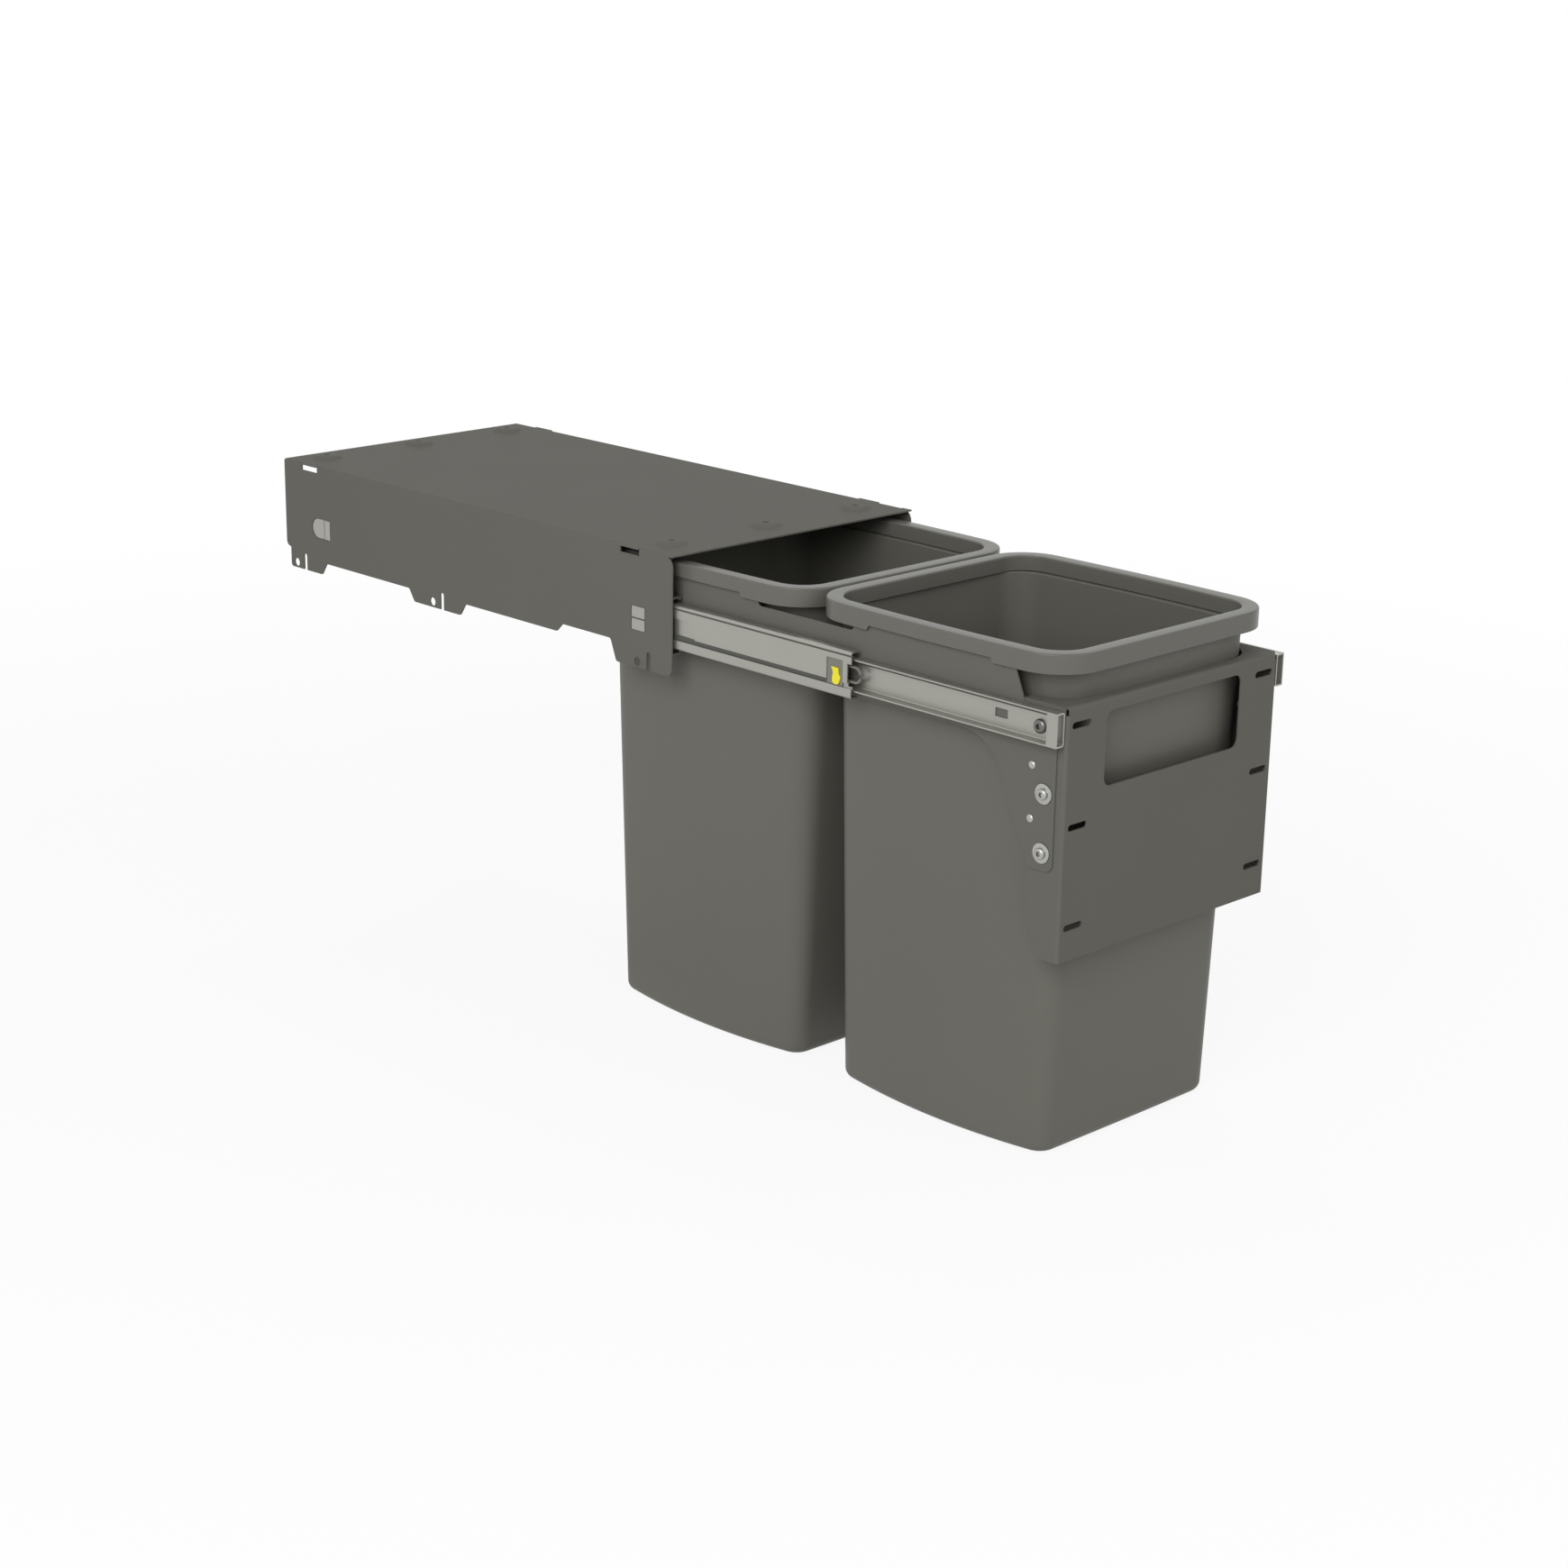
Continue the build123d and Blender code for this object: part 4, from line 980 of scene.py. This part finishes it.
    def build_cage(self, name: str, radius: float, recipe: Recipe) -> None:
        """Build the outer or inner cage, with its balls' radius, in the place of its solids."""
        node = f"ball_cage_{name}_{self.side}"
        low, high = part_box(node)
        radius *= MM
        rise = (high.z - low.z) / 2 - radius
        centre = (low + high) / 2
        points = [(centre.x / MM, low.y / MM, (centre.z + end * rise) / MM) for end in (-1, 1)]
        piece = recipe.build(node + "_rolled", point_mesh(node, points), MATERIALS[Finish.CAGE], {
            "Length": self.cage_length * MM, "Width": self.cage_width * MM,
            "Sheet": self.cage_sheet * MM, "Ball radius": radius,
            "Clearance": self.ball_clearance * MM, "Balls": self.balls,
            "End inset": self.ball_inset * MM})
        dress(piece, f"cage_{name}_{self.side}", Finish.CAGE, node)


# --- fasteners ---
@dataclass(frozen=True)
class Screw:
    """Button-head screw along X: its head's seat is at 0 and its shank runs to -length."""

    radius: float
    head_radius: float
    head: float
    length: float
    socket: float = 2.0
    socket_depth: float = 1.6
    socket_edge: float = 0.25
    pitch: float = 0.9
    thread: float = 0.32
    thread_start: float = 0.4
    plain: float = 0.6
    point: float = 0.4

    def mesh(self) -> Mesh:
        """Closed mesh of the screw with its hexagon socket and thread."""
        top, edge, flat = self.head, self.socket_edge, self.socket * 1.25
        loops = [hexagon_of(self.socket * 0.9, top - self.socket_depth),
                 hexagon_of(self.socket, top - edge), hexagon_of(self.socket * 1.08, top)]
        loops += [ring_of(flat + (self.head_radius - flat) * sine, top - 0.62 * top * (1 - cosine))
                  for sine, cosine in quarter_arc()]
        loops += [ring_of(self.head_radius, edge), ring_of(self.head_radius - edge, 0),
                  ring_of(self.radius, 0)]
        for n in range(int((self.length - self.plain) / self.pitch)):
            along = -self.thread_start - n * self.pitch
            loops += [ring_of(self.radius, along),
                      ring_of(self.radius - self.thread, along - self.pitch / 2)]
        loops += [ring_of(self.radius - 0.1, -self.length + self.point),
                  ring_of(self.radius - 0.1 - self.point, -self.length)]
        return skin("screw", loops)


@dataclass(frozen=True)
class Washer:
    """Round washer along X: it lies on 0 and ends at its thickness."""

    radius: float
    bore: float
    thickness: float
    edge: float = 0.5
    bulge: float = 0.15

    def mesh(self) -> Mesh:
        """Closed mesh of the washer with its rounded rim."""
        top = self.thickness
        loops = [ring_of(self.bore, 0), ring_of(self.radius, 0),
                 ring_of(self.radius, top - self.edge),
                 ring_of(self.radius - self.bulge, top - self.bulge),
                 ring_of(self.radius - self.edge, top), ring_of(self.bore, top)]
        return skin("washer", loops, tubular=True)


@dataclass(frozen=True)
class Nut:
    """Hexagon nut along X from 0 to -height."""

    radius: float
    bore: float
    height: float
    chamfer: float = 0.45
    mouth: float = 0.5
    bore_ease: float = 0.02

    def mesh(self) -> Mesh:
        """Closed mesh of the nut with chamfered corners."""
        low, mouth, bore = -self.height, self.mouth, self.bore + self.bore_ease
        loops = [hexagon_of(self.radius * 0.95, 0), hexagon_of(self.radius, -self.chamfer),
                 hexagon_of(self.radius, low + self.chamfer), hexagon_of(self.radius * 0.95, low),
                 ring_of(self.bore + mouth, low), ring_of(bore, low + mouth),
                 ring_of(bore, -mouth), ring_of(self.bore + mouth, 0)]
        return skin("nut", loops, tubular=True)


@dataclass(frozen=True)
class Rivet:
    """Domed rivet along X: its seat is at 0, and a flat head closes it at -grip."""

    radius: float
    head_radius: float
    head: float
    grip: float
    pip: float = 0.2
    bevel: float = 0.3

    def mesh(self) -> Mesh:
        """Closed mesh of the rivet."""
        loops = [ring_of(max(self.pip, self.head_radius * sine), self.head * cosine)
                 for sine, cosine in quarter_arc()]
        loops += [ring_of(self.radius, 0), ring_of(self.radius, -self.grip),
                  ring_of(self.head_radius, -self.grip),
                  ring_of(self.head_radius, -self.grip - self.head * 0.35),
                  ring_of(self.head_radius - self.bevel, -self.grip - self.head * 0.5)]
        return skin("rivet", loops)


@dataclass(frozen=True)
class FastenerSet:
    """One kind of fastener at its places on both sides of the drawer."""

    name: str
    nodes: Sequence[str]
    template: "Screw | Washer | Nut | Rivet"
    finish: Finish
    seats: Sequence[float]
    places: Sequence[Pair]
    seed: int

    def build(self, recipe: Recipe) -> None:
        """Set the fasteners in the place of their solids, with the tree that repeats one."""
        points, facing = [], []
        for side in SIDES.values():
            for seat, (back, depth) in zip(self.seats, self.places):
                points.append((side * seat, LAYOUT.y(back), LAYOUT.z(depth)))
                facing.append(0.0 if side > 0 else math.pi)
        mesh = self.template.mesh()
        soften(mesh, TURNED_SHARP_ANGLE)
        template = new_piece(self.name + "_template", mesh)
        start = point_mesh(self.name, points, facing)
        piece = recipe.build(self.name, start, MATERIALS[self.finish], {
            "Template": template, "Turn": math.tau, "Seed": self.seed})
        bpy.data.objects.remove(template)
        dress(piece, "drawer", self.finish, *self.nodes)


def fastener_sets() -> list[FastenerSet]:
    """Every set of fasteners on the drawer."""
    slide_low = LAYOUT.slide_depth + LAYOUT.screw_drop
    slide = [(LAYOUT.slide_front + inset, slide_low) for inset in (20.2, 237.0, 449.0)]
    adjust = [(LAYOUT.panel_front + 17.4, depth) for depth in (105.4, 148.4)]
    clamp = [(LAYOUT.panel_front + 29.2, depth) for depth in (87.0, 125.8)]
    tie = [(111.0, depth) for depth in (39.0, 59.0)]
    steel, plate, inner = Finish.WASHER, LAYOUT.plate_x, LAYOUT.bracket_x
    leg = inner - LAYOUT.leg_sheet
    washer = Washer(radius=7.5, bore=2.5, thickness=1.2)
    slide_screw = Screw(radius=2.85, head_radius=5.2, head=3.0, length=7.8)
    adjust_screw = Screw(radius=2.45, head_radius=4.2, head=2.6, length=8.2 + washer.thickness,
                         socket=1.9, socket_depth=2.2)
    slide_nut = Nut(radius=5.0, bore=2.9, height=4.0)
    adjust_nut = Nut(radius=5.0, bore=2.5, height=4.0)
    clamp_rivet = Rivet(radius=1.9, head_radius=3.1, head=1.3, grip=2.7)
    tie_rivet = Rivet(radius=1.9, head_radius=3.1, head=1.3, grip=2.4)
    return [
        FastenerSet("slide_screw_heads", ["slide_screws"], slide_screw, Finish.BUTTON,
                    [LAYOUT.web_x] * 3, slide, 3),
        FastenerSet("slide_screw_nuts", ["slide_nuts"], slide_nut, steel,
                    [leg, inner, inner], slide, 5),
        FastenerSet("adjust_screw_heads", ["adjust_screws"], adjust_screw, steel,
                    [plate + washer.thickness] * 2, adjust, 7),
        FastenerSet("adjust_washers", [], washer, steel, [plate] * 2, adjust, 8),
        FastenerSet("adjust_screw_nuts", ["adjust_nuts"], adjust_nut, steel, [leg] * 2, adjust, 9),
        FastenerSet("bracket_rivet_heads", ["bracket_rivets"], clamp_rivet, steel,
                    [plate] * 2, clamp, 11),
        FastenerSet("tie_rivet_heads", ["tie_rivets"], tie_rivet, steel, [plate] * 2, tie, 13),
    ]


# --- buckets ---
@dataclass(frozen=True)
class Tub:
    """Lift-out bucket with its rim ring, in millimetres."""

    name: str
    back: float
    rim: Plan = Plan(121.8, 124.5, 3.5, 0.5, 36.5)
    neck: Plan = Plan(113.5, 118.3, 3.5, 1.5, 28.0)
    top: Plan = Plan(108.0, 118.0, 5.0, 4.0, 27.0)
    base: Plan = Plan(105.0, 104.0, 10.5, 0.5, 16.5)
    rim_depth: float = 7.0
    rim_width: float = 12.5
    rim_wall: float = 1.8
    skirt: float = 14.6
    inner_skirt: float = 12.0
    notch: float = 3.6
    notch_half: float = 60.0
    edge: float = 1.4
    shoulder: float = 2.0
    flange_depth: float = 9.1
    flange: float = 2.2
    flange_inset: float = 2.7
    neck_wall: float = 2.0
    neck_depth: float = 21.5
    wall: float = 2.0
    floor_wall: float = 2.4
    top_depth: float = 22.0
    base_depth: float = 388.0
    base_edge: float = 8.0
    rows: int = 14
    lip_edge: float = 0.4
    step_edge: float = 0.6
    brim_edge: float = 0.7
    fillet: float = 0.8
    body_flare: float = 0.5
    ring_edge: float = 0.3
    ring_steps: int = 6
    smooth: float = 28.0
    mark_steps: Sequence[float] = (-1.4, -1, -0.5, 0, 0.5, 1, 1.4)

    def around(self, plan: Plan, inset: float, depth: float) -> Loop:
        """Level loop of a plan, drawn in by an inset."""
        return plan.inset(inset).loop(LAYOUT.y(self.back), LAYOUT.z(depth))

    def body(self, inset: float, depth: float) -> Loop:
        """Loop of the tapered body."""
        share = (depth - self.top_depth) / (self.base_depth - self.top_depth)
        return self.around(self.top.blend(self.base, share), inset, depth)

    def collar(self, inset: float, depth: float) -> Loop:
        """Loop of the neck, drawn in from its outer face."""
        return self.around(self.neck, inset, depth)

    def rest(self, inset: float, depth: float) -> Loop:
        """Loop of the flange that rests on the drawer, drawn in from the rim ring's outer face."""
        return self.around(self.rim, inset, depth)

    def shell(self, inset: float, bottom: float, radius: float, start: float) -> list[Loop]:
        """Loops of one face of the body, from its top to its floor.

        Args:
            inset: how far the face lies inside the body's outer face.
            bottom: the floor's depth on this face.
            radius: the rounding between the side and the floor.
            start: the depth of the first loop.

        Returns:
            The loops.
        """
        levels = [start + (bottom - radius - start) * n / self.rows for n in range(self.rows)]
        loops = [self.body(inset, depth) for depth in levels]
        loops += [self.body(inset + radius * (1 - cosine), bottom - radius * (1 - sine))
                  for sine, cosine in quarter_arc()]
        return loops

    def bucket(self) -> list[Loop]:
        """Loops of the bucket's skin, from inside its floor over its flange to its bottom."""
        inner, inset = self.neck_wall, self.flange_inset
        top, low = self.flange_depth, self.flange_depth + self.flange
        outer_step, inner_step = self.neck_depth, self.neck_depth - inner
        lip, bend, fillet, brim = self.lip_edge, self.step_edge, self.fillet, self.brim_edge
        inside = self.shell(self.wall, self.base_depth - self.floor_wall,
                            self.base_edge - self.wall, inner_step + fillet)
        outside = self.shell(0.0, self.base_depth, self.base_edge, outer_step + bend)
        collar = [
            self.body(self.wall - bend, inner_step), self.collar(inner + bend, inner_step),
            self.collar(inner, inner_step - bend), self.collar(inner, top + lip),
            self.collar(inner - lip, top), self.rest(inset + lip, top), self.rest(inset, top + lip),
            self.rest(inset, low - lip), self.rest(inset + lip, low), self.collar(-fillet, low),
            self.collar(0, low + fillet), self.collar(0, outer_step - brim),
            self.collar(brim, outer_step), self.body(-self.body_flare, outer_step)]
        return inside[::-1] + collar + outside

    def skirt_height(self, lift: float) -> Callable[[float, float], float]:
        """Height of the outer skirt's lower edge, which is raised along the long sides."""
        def height(x: float, y: float) -> float:
            side = abs(x) > self.rim.half_x - self.rim.radius
            share = (self.notch_half + self.edge - abs(y)) / (2 * self.edge)
            share = max(0.0, min(1.0, share))
            rise = self.notch * share * share * (3 - 2 * share) if side else 0.0
            return LAYOUT.z(self.rim_depth + self.skirt - rise) + lift
        return height

    def ring(self) -> list[Loop]:
        """Loops round the rim ring's section."""
        marks = [self.notch_half + step * self.edge for step in self.mark_steps]
        soft, edge, wall, width = self.ring_edge, self.edge, self.rim_wall, self.rim_width
        under, lower = self.rim_depth + wall, self.rim_depth + self.inner_skirt
        foot, foot_edge = self.skirt_height(0), self.skirt_height(soft)

        def loop(inset: float, height: "float | Callable[[float, float], float]") -> Loop:
            """Loop of the ring at an inset, at a depth or at heights round the plan."""
            level = height if callable(height) else LAYOUT.z(height)
            return self.rim.inset(inset).loop(LAYOUT.y(self.back), level, marks)

        arc = quarter_arc(self.ring_steps)
        loops = [loop(wall - soft, foot), loop(soft, foot), loop(0, foot_edge),
                 loop(0, self.rim_depth + edge + self.shoulder)]
        loops += [loop(edge * (1 - cosine), self.rim_depth + edge * (1 - sine))
                  for sine, cosine in arc]
        loops += [loop(width - edge * (1 - sine), self.rim_depth + edge * (1 - cosine))
                  for sine, cosine in arc]
        return loops + [
            loop(width, lower - soft), loop(width - soft, lower),
            loop(width - wall + soft, lower), loop(width - wall, lower - soft),
            loop(width - wall, under), loop(wall, under), loop(wall, foot_edge)]

    def build(self) -> None:
        """Build and dress the bucket and its ring."""
        body, ring = f"bucket_{self.name}", f"rim_ring_{self.name}"
        for node, loops, finish in ((body, self.bucket(), Finish.BUCKET),
                                    (ring, self.ring(), Finish.RING)):
            mesh = skin(node, loops, tubular=finish is Finish.RING)
            soften(mesh, self.smooth)
            dress(new_piece(node + "_moulded", mesh), body, finish, node)


# --- studio ---
@dataclass(frozen=True)
class Lamp:
    """Soft rectangular lamp, in metres and watts."""

    name: str
    place: Triple
    size: Pair
    power: float
    aim: Triple = (0.0, -0.25, -0.2)

    def build(self) -> None:
        """Add the lamp, pointed at the object."""
        data = bpy.data.lights.new(self.name, "AREA")
        data.shape = "RECTANGLE"
        data.size, data.size_y = self.size
        data.energy = self.power
        lamp = bpy.data.objects.new(self.name, data)
        lamp.location = self.place
        lamp.rotation_mode = "QUATERNION"
        lamp.rotation_quaternion = (Vector(self.aim) - Vector(self.place)).to_track_quat("-Z", "Y")
        bpy.context.scene.collection.objects.link(lamp)


@dataclass(frozen=True)
class Studio:
    """Camera, floor and soft lights; the camera's place is in millimetres, the rest in metres."""

    camera_at: Triple = (-1638.777, -1920.412, 510.951)
    right: Triple = (0.72542, -0.68821, 0.01206)
    up: Triple = (0.19926, 0.22675, 0.95335)
    lens: float = 69.26
    sensor: float = 36.0
    shift: Pair = (0.0241, 0.0123)
    clip: Pair = (0.05, 60.0)
    world_level: float = 0.39
    floor_size: float = 14.0
    floor_gap: float = 0.0005
    floor_colour: Colour = (0.86, 0.86, 0.86)
    floor_roughness: float = 0.9
    floor_veil: float = 0.9
    floor_fade: Pair = (0.7, 1.7)
    lamps: Sequence[Lamp] = (
        Lamp("key", (-3.3, -1.6, 1.9), (2.4, 2.4), 84.0),
        Lamp("front", (0.6, -3.6, 1.6), (2.2, 2.2), 19.0),
        Lamp("edges", (1.5, 1.3, 3.0), (0.5, 0.5), 15.0))

    def camera(self) -> None:
        """Set up the camera at the photograph's place."""
        data = bpy.data.cameras.new("camera")
        data.lens = self.lens
        data.sensor_width = self.sensor
        data.shift_x, data.shift_y = self.shift
        data.clip_start, data.clip_end = self.clip
        camera = bpy.data.objects.new("camera", data)
        right, up = Vector(self.right).normalized(), Vector(self.up).normalized()
        back = right.cross(up).normalized()
        up = back.cross(right)
        turn = Matrix((right, up, back)).transposed().to_4x4()
        camera.matrix_world = Matrix.Translation(Vector(self.camera_at) * MM) @ turn
        bpy.context.scene.collection.objects.link(camera)
        bpy.context.scene.camera = camera

    def floor(self) -> None:
        """Pale floor under the buckets, which the camera sees nearly white."""
        half = self.floor_size / 2
        level = CAD_BOX[0].z - self.floor_gap
        mesh = bpy.data.meshes.new("floor")
        corners = [(x * half, y * half, level) for x, y in ((-1, -1), (1, -1), (1, 1), (-1, 1))]
        mesh.from_pydata(corners, [], [(0, 1, 2, 3)])
        floor = new_piece("floor", mesh)
        shader = Shader("floor")
        shader.set(Base_Color=(*self.floor_colour, 1), Roughness=self.floor_roughness)
        glow = shader.node("ShaderNodeEmission", {}, {"Color": (1, 1, 1, 1), "Strength": 1.0})
        away = shader.node("ShaderNodeVectorMath", {"operation": "LENGTH"}, {0: shader.place},
                           "Value")
        near, far = self.floor_fade
        fade = shader.node("ShaderNodeMapRange", {"clamp": True}, {
            "Value": away, "From Min": near, "From Max": far,
            "To Min": self.floor_veil, "To Max": 1.0})
        both = shader.node("ShaderNodeMixShader", {}, {
            0: seen_directly(shader) * fade, 1: Wire(shader, shader.surface.outputs[0]), 2: glow})
        shader.feed(shader.exit.inputs["Surface"], both)
        mesh.materials.append(shader.material)

    def world(self) -> None:
        """Even white surroundings, at full white only for what is seen directly."""
        world = bpy.data.worlds.new("studio")
        world.use_nodes = True
        bpy.context.scene.world = world
        maker = NodeMaker(world.node_tree)
        background = world.node_tree.nodes["Background"]
        background.inputs["Color"].default_value = (1, 1, 1, 1)
        level = seen_directly(maker) * (1 - self.world_level) + self.world_level
        maker.feed(background.inputs["Strength"], level)

    def build(self) -> None:
        """Build the studio."""
        self.camera()
        self.world()
        self.floor()
        for lamp in self.lamps:
            lamp.build()
        view = bpy.context.scene.view_settings
        view.view_transform = "Standard"


def seen_directly(maker: NodeMaker) -> Wire:
    """1 for a ray from the camera or from a mirror-like or clear surface, and 0 for others."""
    kinds = ("Is Camera Ray", "Is Glossy Ray", "Is Transmission Ray")
    camera, glossy, clear = (maker.node("ShaderNodeLightPath", {}, {}, kind) for kind in kinds)
    return maker.node("ShaderNodeMath", {"operation": "MINIMUM"},
                      {0: camera + glossy + clear, 1: 1.0})


def main() -> None:
    """Build the studio and every sub-assembly."""
    logging.basicConfig(level=logging.INFO)
    Studio().build()
    SheetWork().build()
    cage, fastener = cage_recipe(), fastener_recipe()
    for side in SIDES:
        BallSlide(side).build(cage)
    for fasteners in fastener_sets():
        fasteners.build(fastener)
    for name, back in LAYOUT.bucket_backs:
        Tub(name, back).build()


if __name__ == "__main__":
    main()
